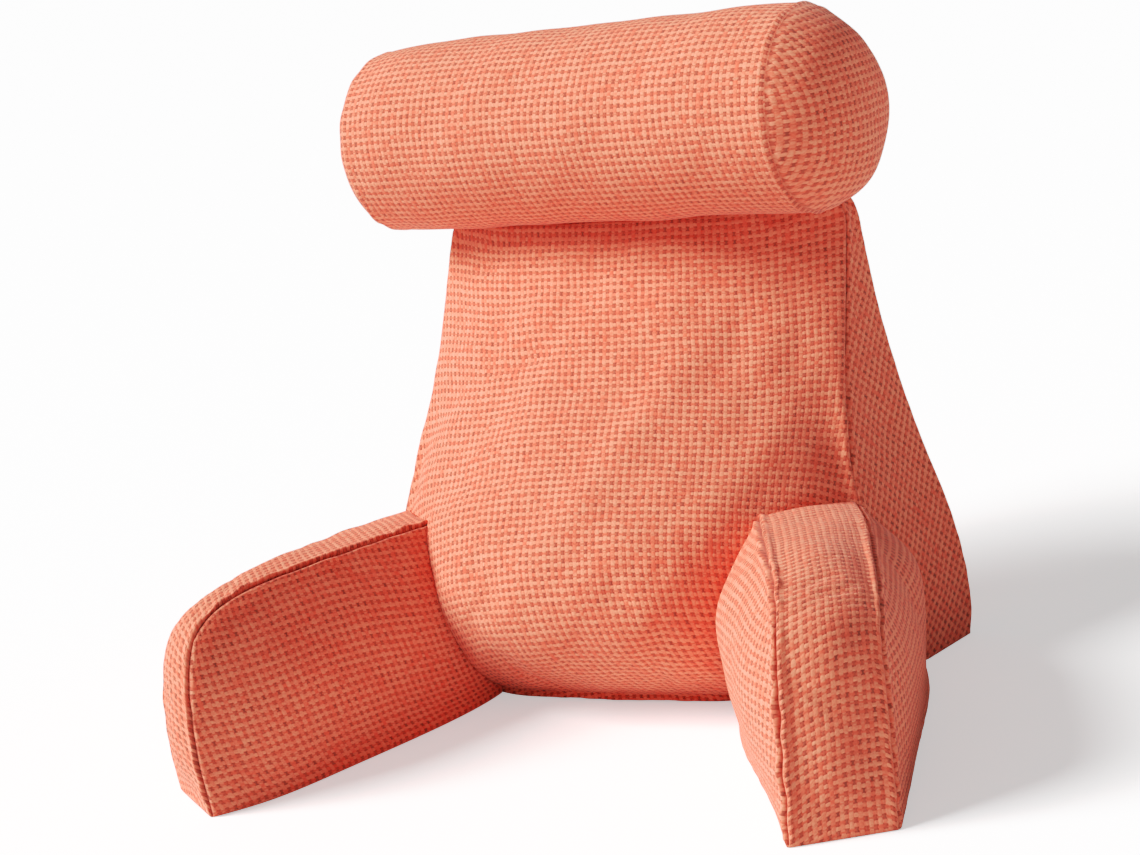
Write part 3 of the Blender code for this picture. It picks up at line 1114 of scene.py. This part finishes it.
@dataclass
class ArmCushion:
    """One arm: inner face, outer face, a strip over the top and down the front, and base.

    Attributes:
        name: the node's name.
        rows: its stations, from inside the back to the front.
        side: -1 for the left arm, 1 for the right.
        creases: its listed folds.
        levels: subdivisions of the cage.
        heights: the cage's divisions upwards.
        inner_crown, outer_crown: how far the faces swell at their middle, in metres.
        strip_crown: how far the strip over the top and the front swells, in metres.
        crown_lift: how far up the faces swell most, as a power.
        front_crown: how far the whole front end swells, in metres.
        skew: how far the weave leans on the faces.
        crown_steps: over how many stations the strip's swelling grows.
        rear_share: the share of the arm's length over which it is fitted to the back.
        floor_lift: the small lift at which lines on the floor are traced, in metres.
        rear_reach: how far the back is looked for, in metres.
        rear_hold: over how many fine steps the rear end is held in the simulation.
        fine_reach: how far the finer cloth reaches from a seam, in metres.
        lump: the height of its unevenness, in metres.
        fill: how tightly it is filled, from 0 to 1.
        seam_crease: how sharp the seams stay.
        base_crease: how sharp the base's edge stays.
        shell: the fine mesh.
    """

    name: str
    rows: Sequence[ArmRow]
    side: int
    creases: Sequence[Crease] = ()
    levels: int = 4
    heights: int = 3
    inner_crown: float = 3.8 * CM
    outer_crown: float = 2.6 * CM
    strip_crown: float = 1.6 * CM
    crown_lift: float = 1.5
    front_crown: float = 0.0
    skew: float = -0.15
    crown_steps: int = 3
    rear_share: tuple[int, int] = (7, 10)
    floor_lift: float = 2 * MM
    rear_reach: float = 40 * CM
    rear_hold: int = 14
    fine_reach: float = 38 * MM
    lump: float = 3.0 * MM
    fill: float = 0.8
    seam_crease: float = 0.75
    base_crease: float = 1.0
    shell: Shell = field(init=False, default=None)

    @property
    def divisions(self) -> tuple[int, int, int]:
        """The cage's divisions: along, across and upwards."""
        return (len(self.rows) - 1, 2, self.heights)

    @property
    def forward(self) -> Vector:
        """The direction in which the right arm runs, level."""
        return (Vector(self.rows[-1].inner_foot) - Vector(self.rows[1].inner_foot)).normalized()

    def point(self, i: int, j: int, k: int) -> Vector:
        """Place a grid point: i from the back to the front, j from inner to outer, k upwards."""
        row = self.rows[i]
        across, up = j / 2, k / self.heights
        forward = self.forward
        inward = Vector((forward.y, -forward.x, 0.0))
        foot = Vector(row.inner_foot).lerp(Vector(row.outer_foot), across).to_3d()
        top = Vector(row.inner_top).lerp(Vector(row.outer_top), across)
        point = foot.lerp(top, up) * CM
        last = len(self.rows) - 1
        swell = math.sin(math.pi * up ** self.crown_lift) if 0 < i < last else 0.0
        if j == 0:
            point += inward * self.inner_crown * swell
        if j == 2:
            point -= inward * self.outer_crown * swell
        if j == 1 and k == self.heights:
            point.z += self.strip_crown * min(1.0, i / self.crown_steps)
        if j == 1 and i == last and k > 0:
            point += forward.to_3d() * self.strip_crown
        if i == last:
            point += forward.to_3d() * self.front_crown * math.sin(math.pi * up)
        point.x *= self.side
        return point - MIDDLE

    def crease(self, first: Vector, second: Vector) -> float:
        """Crease both seams of the strip and the edge of the base."""
        (i, j, k), (p, q, r) = first, second
        last = self.divisions[0]
        if k == r == 0 and ((i == p and i in (0, last)) or (j == q and j in (0, 2))):
            return self.base_crease
        on_top = k == r == self.heights
        on_front = i == p == last
        return self.seam_crease if j == q and j in (0, 2) and (on_top or on_front) else 0.0

    def meet_back(self, back: BVHTree) -> None:
        """Shorten the arm's lines so that its rear end lies on the back's surface.

        Args:
            back: the back cushion's faces.
        """
        points = self.shell.points
        forward = Vector((self.forward.x * self.side, self.forward.y, 0.0))
        last = self.shell.steps[0]
        reach = last * self.rear_share[0] // self.rear_share[1]
        wide, high = self.shell.steps[1], self.shell.steps[2]
        lift = Vector((0.0, 0.0, self.floor_lift))
        for j in range(wide + 1):
            for k in range(high + 1):
                number = self.shell.lookup.get((0, j, k))
                if number is None:
                    continue
                start = Vector(points[number])
                low = lift if start.z < self.floor_lift else Vector()
                if j in (0, wide) or k in (0, high):
                    line = [self.shell.lookup[(i, j, k)] for i in range(last + 1)]
                    run = points[line]
                    meeting = self.exit_place(back, run, low)
                    places = np.arange(last + 1, dtype=float)
                    share = np.clip(places / reach, 0.0, 1.0)
                    moved = np.where(places < reach, meeting + (reach - meeting) * share, places)
                    axes = [np.interp(moved, places, run[:, axis]) for axis in range(3)]
                    points[line] = np.stack(axes, axis=1)
                else:
                    hit = last_exit(back, start, forward, self.rear_reach)
                    if hit is not None:
                        points[number] = hit + forward * GAP
        self.shell.points = points

    def exit_place(self, back: BVHTree, run: np.ndarray, low: Vector) -> float:
        """Find where a line of the arm leaves the back.

        Args:
            back: the back cushion's faces.
            run: the line's points, from inside the back.
            low: a small lift for lines that lie on the floor.

        Returns:
            The place along the line, in steps.
        """
        place = 0.0
        for number in range(len(run) - 1):
            start, end = Vector(run[number]) + low, Vector(run[number + 1]) + low
            step = end - start
            hit = back.ray_cast(start, step.normalized(), step.length)
            if hit[0] is not None:
                place = number + (hit[3] + GAP) / step.length
        return place

    def map_cloth(self) -> None:
        """Lay the weave along and up the faces, and along the strip."""
        points = self.shell.points
        maps = {}
        wide, high = self.shell.steps[1], self.shell.steps[2]
        for side in (FRONT, REAR):
            table = points[self.shell.side_grid(side)]
            maps[side] = true_lengths(table, table.shape[0] // 2, 0)
            maps[side][:, :, 0] += self.skew * maps[side][:, :, 1]
        top = true_lengths(points[self.shell.side_grid(TOP)], 0, wide // 2)
        maps[TOP] = top[:, :, ::-1]
        front = true_lengths(points[self.shell.side_grid(HIGH_X)], wide // 2, high)
        joined = front.copy()
        joined[:, :, 1] = top[-1, :, 0][:, None] - front[:, :, 1]
        maps[HIGH_X] = joined
        maps[LOW_X] = front
        maps[BASE] = points[self.shell.side_grid(BASE)][:, :, :2]
        self.shell.map_cloth(maps)

    def runs(self) -> list[np.ndarray]:
        """Give the point numbers of the seams: both edges of the strip, and the base."""
        last, high = self.divisions[0], self.heights
        line = self.shell.line
        return [
            line([(0, 0, high), (last, 0, high), (last, 0, 0)]),
            line([(0, 2, high), (last, 2, high), (last, 2, 0)]),
            line([(0, 0, 0), (last, 0, 0), (last, 2, 0), (0, 2, 0)]),
        ]

    def seams(self, runs: Sequence[np.ndarray]) -> list[Seam]:
        """Give the seams that lie on the runs, as the points stand now."""
        points = self.shell.points
        inner, outer, base = (points[run] for run in runs)
        up = np.tile([0.0, 0.0, 1.0], (len(base), 1))
        return [
            Seam(inner, outer - inner, groove=3.2 * MM, near_welt=1.8 * MM, far_welt=2.0 * MM, wave=0.8,
                 sway=1.6 * MM, pucker=1.3 * MM, dark=0.9),
            Seam(outer, inner - outer, groove=1.8 * MM, near_welt=1.0 * MM, far_welt=0.9 * MM, wave=0.6,
                 sway=0.8 * MM, pucker=1.4 * MM, dark=0.5),
            Seam(base, up, groove=0.4 * MM, near_welt=0.6 * MM, far_welt=0.0, pucker=0.9 * MM, dark=0.3),
        ]

    def build(self, back: BVHTree, material: bpy.types.Material) -> bpy.types.Object:
        """Build the arm against the back and dress it.

        Args:
            back: the back cushion's faces.
            material: the cloth.

        Returns:
            The finished object.
        """
        cage = placed_block(self.divisions, self.point, self.crease)
        mesh = refined(cage, self.name + "_cloth", self.levels)
        self.shell = Shell(mesh, self.divisions, 2 ** self.levels)
        self.meet_back(back)
        self.map_cloth()
        runs = self.runs()
        extra = 1.0 - self.shell.at[:, 0] / self.rear_hold
        swell(self.shell, self.seams(runs), extra, PuffSettings(pressure=9.0, shrink=0.02, frames=14))
        seams = self.seams(runs)
        refine(mesh, runs, self.fine_reach, 1)
        sew(mesh, seams, self.creases, self.lump)
        return finish_piece(self.name + "_cloth", self.name, mesh, material, self.fill)


class Graph:
    """A short way to lay out shader nodes."""

    def __init__(self, tree: bpy.types.NodeTree) -> None:
        """Keep the tree that the nodes go into."""
        self.tree = tree

    def node(self, kind: str, **settings: object) -> bpy.types.Node:
        """Add a node and set its plain properties."""
        made = self.tree.nodes.new(kind)
        for key, value in settings.items():
            setattr(made, key, value)
        return made

    def feed(self, socket: Socket, value: object) -> None:
        """Link a socket to another, or set its value."""
        if isinstance(value, Socket):
            self.tree.links.new(value, socket)
        else:
            socket.default_value = value

    def math(self, operation: str, *values: object, clamp: bool = False) -> Socket:
        """Add a Math node and give its result."""
        made = self.node("ShaderNodeMath", operation=operation, use_clamp=clamp)
        for socket, value in zip(made.inputs, values):
            self.feed(socket, value)
        return made.outputs[0]

    def plus(self, first: object, second: object, clamp: bool = False) -> Socket:
        """Add two numbers."""
        return self.math("ADD", first, second, clamp=clamp)

    def minus(self, first: object, second: object) -> Socket:
        """Take the second number from the first."""
        return self.math("SUBTRACT", first, second)

    def times(self, first: object, second: object) -> Socket:
        """Multiply two numbers."""
        return self.math("MULTIPLY", first, second)

    def lift(self, value: object, least: float, span: float) -> Socket:
        """Give a least number plus a span times a value."""
        return self.plus(least, self.times(value, span))

    def blend(self, share: object, first: object, second: object) -> Socket:
        """Mix two numbers."""
        made = self.node("ShaderNodeMix", data_type="FLOAT")
        for socket, value in zip(made.inputs[:1] + made.inputs[2:4], (share, first, second)):
            self.feed(socket, value)
        return made.outputs[0]

    def tint(self, share: object, first: object, second: object) -> Socket:
        """Mix two colours."""
        made = self.node("ShaderNodeMix", data_type="RGBA")
        self.feed(made.inputs[0], share)
        self.feed(made.inputs[6], first)
        self.feed(made.inputs[7], second)
        return made.outputs[2]

    def noise(self, vector: object, scale: float, detail: float) -> Socket:
        """Add a Noise Texture and give its value."""
        made = self.node("ShaderNodeTexNoise")
        self.feed(made.inputs["Vector"], vector)
        made.inputs["Scale"].default_value = scale
        made.inputs["Detail"].default_value = detail
        return made.outputs[0]

    def stretch(self, value: object, low: float, high: float) -> Socket:
        """Map a number smoothly from low..high to 0..1."""
        made = self.node("ShaderNodeMapRange", interpolation_type="SMOOTHSTEP")
        self.feed(made.inputs["Value"], value)
        made.inputs["From Min"].default_value = low
        made.inputs["From Max"].default_value = high
        return made.outputs[0]


@dataclass(frozen=True)
class BasketWeave:
    """The coral cloth: a plain weave of uneven yarns, by turns thick and peach, and thin and dark, with
    painted light in its colour: painted highlights on the yarns' tops, painted shade on their flanks and on
    dipping thin yarns, and painted shadow in the holes.

    Attributes:
        pitch: the spacing of the yarns both ways, in metres.
        peach: the colour of the yarns' tops, partly their lighter tone and partly a painted highlight where
            they rise highest.
        coral: the common colour of the yarns.
        deep: the darkest yarns, and the painted shade on the yarns' low flanks.
        gap: the painted shadow in the holes between the yarns, and the painted shade in the seams' grooves.
        painted_dip_shade: the painted shade on the thin upright yarns, which lie deep where they dip under.
        slow_pace, quick_pace: how far apart the yarns' lines lie in the noises of their tone and width, and
            how fast those pass along them.
        layers: the slices that the second set of yarns and the quick noise read.
        half_width: a yarn's least half width, its unevenness and how much less a thin one has, in pitches.
        rise: a yarn's mean height, its rise and fall over crossings and how much deeper a thin one lies.
        tone: how much the slow and the quick noise lighten a yarn and how much darker a thin one is.
        chance: how much the tone changes from crossing to crossing.
        grain: the least share of the light top colour, with its painted highlight, and what the mottling
            adds.
        holes: the least depth of the holes' painted shadow and what chance adds.
        dashes: the same for the thin yarns' painted shade.
        level_dip_shade: the share of that painted shade that the thin level yarns have.
        rough: the share of the fuzz and of the mottling in the relief.
        room: how much more room the thick upright and level yarns take, in pitches.
        drift: how far the yarns wander, in pitches.
        drift_scale: how often they wander, per metre.
        mottle_scale: how fine the cloth's mottling is, per metre.
        fuzz_scale: how fine its fuzz is, per metre.
        groove_shade: how much the painted shade darkens the seams' grooves.
        bump: the strength of the weave's relief, and its height in metres.
        sheen, sheen_roughness, sheen_tint, specular: the cloth's soft gloss.
    """

    pitch: Triple = (3.8 * MM, 3.95 * MM, 1.0)
    peach: Colour = (0.96, 0.250, 0.148, 1.0)
    coral: Colour = (0.93, 0.122, 0.068, 1.0)
    deep: Colour = (0.68, 0.052, 0.032, 1.0)
    gap: Colour = (0.22, 0.028, 0.017, 1.0)
    painted_dip_shade: Colour = (0.26, 0.046, 0.028, 1.0)
    slow_pace: tuple[float, float] = (7.31, 0.11)
    quick_pace: tuple[float, float] = (3.17, 0.9)
    layers: tuple[float, float] = (5.7, 11.3)
    half_width: Triple = (0.37, 0.22, 0.02)
    rise: Triple = (0.84, 0.16, 0.2)
    tone: Triple = (1.2, 1.1, 0.5)
    chance: float = 0.7
    grain: tuple[float, float] = (0.55, 0.45)
    holes: tuple[float, float] = (0.4, 0.6)
    dashes: tuple[float, float] = (0.5, 0.5)
    level_dip_shade: float = 0.25
    rough: tuple[float, float] = (0.2, 0.12)
    room: tuple[float, float] = (0.13, 0.05)
    drift: float = 0.8
    drift_scale: float = 38.0
    mottle_scale: float = 520.0
    fuzz_scale: float = 1700.0
    groove_shade: float = 0.7
    bump: tuple[float, float] = (0.8, 0.9 * MM)
    sheen: float = 0.12
    sheen_roughness: float = 0.5
    sheen_tint: Colour = (1.0, 0.8, 0.68, 1.0)
    specular: float = 0.12

    def yarn(self, g: Graph, across: Socket, along: Socket, shift: float) -> tuple[Socket, Socket, Socket]:
        """Lay one set of parallel yarns.

        Args:
            g: the graph.
            across: the place across the yarns, in pitches.
            along: the place along them, in pitches.
            shift: 0 or 1, which crossings these yarns lie on top of.

        Returns:
            The yarns' height, their tone and which are thin, all from 0 to 1.
        """
        number = g.math("ROUND", across)
        layer, quick_layer = self.layers
        slow = g.noise(self.spot(g, number, along, self.slow_pace, layer * shift), 1.0, 1.0)
        quick = g.noise(self.spot(g, number, along, self.quick_pace, quick_layer + layer * shift), 1.0, 0.0)
        thin = g.math("FLOORED_MODULO", number, 2.0)
        least, uneven, less = self.half_width
        width = g.minus(g.lift(quick, least, uneven), g.times(thin, less))
        offset = g.math("DIVIDE", g.minus(across, number), width)
        arch = g.minus(1.0, g.times(offset, offset))
        arch = g.math("SQRT", g.math("MAXIMUM", arch, 0.0))
        turn = g.plus(g.plus(along, number), shift)
        wave = g.math("COSINE", g.times(turn, math.pi))
        level, crimp, deeper = self.rise
        height = g.times(arch, g.minus(g.lift(wave, level, crimp), g.times(thin, deeper)))
        slowly, quickly, darker = self.tone
        tone = g.minus(g.plus(g.times(slow, slowly), g.times(quick, quickly)), g.times(thin, darker))
        return height, g.stretch(tone, 0.5, 1.5), thin

    def spot(self, g: Graph, number: Socket, along: Socket, pace: tuple[float, float],
             layer: float) -> Socket:
        """Give each yarn its own line through a noise.

        Args:
            g: the graph.
            number: the yarn's number.
            along: the place along the yarn, in pitches.
            pace: how far apart the yarns' lines lie, and how fast the noise passes along them.
            layer: which slice of the noise is read.

        Returns:
            The place in the noise.
        """
        made = g.node("ShaderNodeCombineXYZ")
        for socket, value, share in zip(made.inputs, (number, along), pace):
            g.feed(socket, g.times(value, share))
        made.inputs[2].default_value = layer
        return made.outputs[0]

    def places(self, g: Graph, given: Socket, pitch: Socket) -> list[Socket]:
        """Count pitches both ways, with the yarns' wandering and the thick yarns' wider room.

        Args:
            g: the graph.
            given: the place in metres.
            pitch: the yarns' spacing both ways.

        Returns:
            The two counts.
        """
        scaled = g.node("ShaderNodeVectorMath", operation="DIVIDE")
        g.feed(scaled.inputs[0], given)
        g.feed(scaled.inputs[1], pitch)
        parts = g.node("ShaderNodeSeparateXYZ")
        g.feed(parts.inputs[0], scaled.outputs[0])
        drift = g.node("ShaderNodeTexNoise")
        g.feed(drift.inputs["Vector"], given)
        drift.inputs["Scale"].default_value = self.drift_scale
        drift.inputs["Detail"].default_value = 3.0
        sway = g.node("ShaderNodeSeparateXYZ")
        g.feed(sway.inputs[0], drift.outputs["Color"])
        counts = []
        for axis, room in enumerate(self.room):
            wander = g.times(g.minus(sway.outputs[axis], 0.5), self.drift)
            place = g.plus(parts.outputs[axis], wander)
            wider = g.math("SINE", g.times(place, math.pi))
            counts.append(g.minus(place, g.times(wider, room)))
        return counts

    def group(self) -> bpy.types.NodeTree:
        """Build the weave's node group: colour, height and roughness over a place in metres.

        Returns:
            The group.
        """
        tree = bpy.data.node_groups.new("basket_weave", "ShaderNodeTree")
        for name, way, kind in (("Place", "INPUT", "Vector"), ("Pitch", "INPUT", "Vector"),
                                ("Colour", "OUTPUT", "Color"), ("Height", "OUTPUT", "Float"),
                                ("Roughness", "OUTPUT", "Float")):
            tree.interface.new_socket(name, in_out=way, socket_type="NodeSocket" + kind)
        g = Graph(tree)
        given = g.node("NodeGroupInput")
        out = g.node("NodeGroupOutput")
        place = given.outputs["Place"]
        u, v = self.places(g, place, given.outputs["Pitch"])
        warp, warp_tone, warp_thin = self.yarn(g, u, v, 0.0)
        weft, weft_tone, weft_thin = self.yarn(g, v, u, 1.0)
        relief = g.math("MAXIMUM", warp, weft)
        upper = g.math("GREATER_THAN", warp, weft)
        cell = g.node("ShaderNodeTexWhiteNoise", noise_dimensions="2D")
        corner = g.node("ShaderNodeCombineXYZ")
        g.feed(corner.inputs[0], g.math("ROUND", u))
        g.feed(corner.inputs[1], g.math("ROUND", v))
        g.feed(cell.inputs["Vector"], corner.outputs[0])
        chance = g.times(g.minus(cell.outputs["Value"], 0.5), self.chance)
        tone = g.plus(g.blend(upper, weft_tone, warp_tone), chance, clamp=True)
        mottle = g.stretch(g.noise(place, self.mottle_scale, 2.0), 0.3, 0.7)
        # Painted light and shade: the higher a yarn rises, the more it takes the light top colour; its low
        # flanks keep the darker body colour.
        lit = g.times(g.stretch(relief, 0.15, 0.85), g.lift(mottle, *self.grain))
        under = g.plus(g.times(tone, 0.5), g.times(mottle, 0.5))
        body = g.tint(under, self.deep, self.coral)
        top = g.tint(tone, self.coral, self.peach)
        colour = g.tint(lit, body, top)
        # Painted shadow: where the relief is low, in the holes between the yarns, the colour darkens towards
        # the gap colour, by a random depth at each crossing.
        hole_shadow_share = g.stretch(relief, 0.72, 0.2)
        rare = g.times(cell.outputs["Value"], cell.outputs["Value"])
        colour = g.tint(g.times(hole_shadow_share, g.lift(rare, *self.holes)), colour, self.gap)
        # Painted shade: the thin yarns darken where they dip under the thick ones, the upright ones fully and
        # the level ones by a share.
        upright = g.times(g.times(warp_thin, upper), g.stretch(warp, 0.1, 0.5))
        level = g.times(g.times(weft_thin, g.minus(1.0, upper)), self.level_dip_shade)
        dip_shade_share = g.times(g.plus(upright, level), g.lift(rare, *self.dashes))
        colour = g.tint(dip_shade_share, colour, self.painted_dip_shade)
        fuzz, mottling = self.rough
        fuzz = g.times(g.noise(place, self.fuzz_scale, 3.0), fuzz)
        height = g.plus(relief, g.plus(fuzz, g.times(mottle, mottling)))
        g.feed(out.inputs["Colour"], colour)
        g.feed(out.inputs["Height"], height)
        g.feed(out.inputs["Roughness"], g.blend(relief, 1.0, 0.88))
        return tree

    def material(self) -> bpy.types.Material:
        """Build the cloth's material.

        Returns:
            The material.
        """
        cloth = bpy.data.materials.new("coral_basket_weave")
        cloth.use_nodes = True
        tree = cloth.node_tree
        shader = tree.nodes["Principled BSDF"]
        g = Graph(tree)
        place = g.node("ShaderNodeUVMap", uv_map=UV_NAME)
        weave = g.node("ShaderNodeGroup", node_tree=self.group())
        g.feed(weave.inputs["Place"], place.outputs[0])
        weave.inputs["Pitch"].default_value = self.pitch
        # Painted shade: the seams' grooves darken the weave's colour towards the gap colour, by the groove
        # attribute.
        groove = g.node("ShaderNodeAttribute", attribute_name=GROOVE_SHADE_NAME)
        depth = g.times(groove.outputs["Fac"], self.groove_shade)
        shade = g.tint(depth, weave.outputs["Colour"], self.gap)
        g.feed(shader.inputs["Base Color"], shade)
        g.feed(shader.inputs["Roughness"], weave.outputs["Roughness"])
        bump = g.node("ShaderNodeBump")
        bump.inputs["Strength"].default_value, bump.inputs["Distance"].default_value = self.bump
        g.feed(bump.inputs["Height"], weave.outputs["Height"])
        g.feed(shader.inputs["Normal"], bump.outputs[0])
        shader.inputs["Sheen Weight"].default_value = self.sheen
        shader.inputs["Sheen Roughness"].default_value = self.sheen_roughness
        shader.inputs["Sheen Tint"].default_value = self.sheen_tint
        shader.inputs["Specular IOR Level"].default_value = self.specular
        return cloth


@dataclass(frozen=True)
class Camera:
    """The photograph's camera.

    Attributes:
        place: where it stands, in metres in the pillow's own frame.
        focal: its focal length in widths of the frame.
        yaw, pitch, roll: its turn from looking along +Y, its dip and its tilt, in degrees.
        sensor: the width of its sensor, in millimetres.
    """

    place: Triple = (0.983, -1.789, 0.779)
    focal: float = 2273.0 / 1140.0
    yaw: float = -28.2
    pitch: float = 13.5
    roll: float = -9.0
    sensor: float = 36.0

    def build(self) -> bpy.types.Object:
        """Make the camera and look through it."""
        data = bpy.data.cameras.new("photo_camera")
        data.sensor_width = self.sensor
        data.lens = self.focal * self.sensor
        camera = add_object("photo_camera", data)
        yaw, pitch, roll = (math.radians(angle) for angle in (self.yaw, self.pitch, self.roll))
        ahead = Vector((math.sin(yaw) * math.cos(pitch), math.cos(yaw) * math.cos(pitch), -math.sin(pitch)))
        level = Vector((math.cos(yaw), -math.sin(yaw), 0.0))
        upright = level.cross(ahead)
        right = level * math.cos(roll) + upright * math.sin(roll)
        up = upright * math.cos(roll) - level * math.sin(roll)
        turn = Matrix((right, up, -ahead)).transposed().to_4x4()
        camera.matrix_world = Matrix.Translation(Vector(self.place) - MIDDLE) @ turn
        bpy.context.scene.camera = camera
        return camera


@dataclass(frozen=True)
class Studio:
    """A plain pale floor under soft light from the upper left, seen through a soft film curve.

    Attributes:
        floor_size: the floor's width, in metres.
        floor_shown: the floor's brightness as the camera sees it.
        floor_bounce: the share of the light that it throws back on the pillow.
        floor_glow: how much it lights up by itself, for the camera only.
        sky: strength of the even light from all around.
        sun: strength of the main light.
        sun_from: the direction that the main light comes from.
        sun_angle: how wide the main light is, in degrees.
        film_white: the brightness that the film shows as white.
        film: the film's curve, as pairs of scene brightness and shown brightness.
        floor_drop: how far the floor lies under the pillow's base, in metres.
        floor_roughness: how matt the floor is.
    """

    floor_size: float = 220.0
    floor_shown: float = 0.95
    floor_bounce: float = 0.93
    floor_glow: float = 0.5
    sky: float = 0.24
    sun: float = 7.5
    sun_from: Triple = (-0.70, -0.37, 0.61)
    sun_angle: float = 26.0
    film_white: float = 2.2
    film: tuple[tuple[float, float], ...] = (
        (0.07, 0.07), (0.27, 0.295), (0.445, 0.445), (0.8, 0.61), (1.2, 0.74), (1.6, 0.85), (1.9, 0.95))
    floor_drop: float = 0.3 * MM
    floor_roughness: float = 0.9

    def floor(self) -> bpy.types.Object:
        """Make the floor."""
        work = bmesh.new()
        bmesh.ops.create_grid(work, x_segments=1, y_segments=1, size=self.floor_size / 2)
        bmesh.ops.translate(work, verts=work.verts, vec=(0.0, 0.0, -self.floor_drop))
        mesh = bpy.data.meshes.new("floor")
        work.to_mesh(mesh)
        work.free()
        floor = add_object("floor", mesh)
        pale = bpy.data.materials.new("pale_floor")
        pale.use_nodes = True
        shader = pale.node_tree.nodes["Principled BSDF"]
        g = Graph(pale.node_tree)
        seen = g.node("ShaderNodeLightPath").outputs["Is Camera Ray"]
        shown = g.blend(seen, self.floor_bounce, self.floor_shown)
        grey = g.node("ShaderNodeCombineColor")
        for socket in grey.inputs[:3]:
            g.feed(socket, shown)
        g.feed(shader.inputs["Base Color"], grey.outputs[0])
        g.feed(shader.inputs["Emission Strength"], g.times(seen, self.floor_glow))
        shader.inputs["Roughness"].default_value = self.floor_roughness
        shader.inputs["Emission Color"].default_value = WHITE
        mesh.materials.append(pale)
        return floor

    def key(self) -> bpy.types.Object:
        """Add the main light."""
        data = bpy.data.lights.new("key", "SUN")
        data.energy = self.sun
        data.angle = math.radians(self.sun_angle)
        lamp = add_object("key", data)
        lamp.rotation_euler = Vector(self.sun_from).to_track_quat("Z", "Y").to_euler()
        return lamp

    def develop(self) -> None:
        """Set the film curve, which keeps the bright side of the cloth from burning out."""
        view = bpy.context.scene.view_settings
        view.view_transform = "Standard"
        view.use_curve_mapping = True
        mapping = view.curve_mapping
        mapping.white_level = (self.film_white,) * 3
        curve = mapping.curves[3]
        for given, shown in self.film:
            curve.points.new(given / self.film_white, shown)
        mapping.update()

    def build(self) -> None:
        """Make the floor, the sky and the main light."""
        self.floor()
        world = bpy.data.worlds.new("studio")
        bpy.context.scene.world = world
        world.use_nodes = True
        background = world.node_tree.nodes["Background"]
        background.inputs["Color"].default_value = WHITE
        background.inputs["Strength"].default_value = self.sky
        self.key()
        self.develop()


def faces_of(piece: bpy.types.Object) -> BVHTree:
    """Index a piece's faces for rays."""
    work = bmesh.new()
    work.from_mesh(piece.data)
    tree = BVHTree.FromBMesh(work)
    work.free()
    return tree


def main() -> None:
    """Build the pillow and its studio."""
    logging.basicConfig(level=logging.INFO, format="%(message)s")
    Camera().build()
    Studio().build()
    cloth = BasketWeave().material()
    NeckRoll().build(cloth)
    back = BackCushion().build(cloth)
    faces = faces_of(back)
    ArmCushion("arm_left", LEFT_ARM_ROWS, -1, LEFT_ARM_CREASES, front_crown=1.0 * CM).build(faces, cloth)
    ArmCushion("arm_right", RIGHT_ARM_ROWS, 1, RIGHT_ARM_CREASES).build(faces, cloth)


if __name__ == "__main__":
    main()
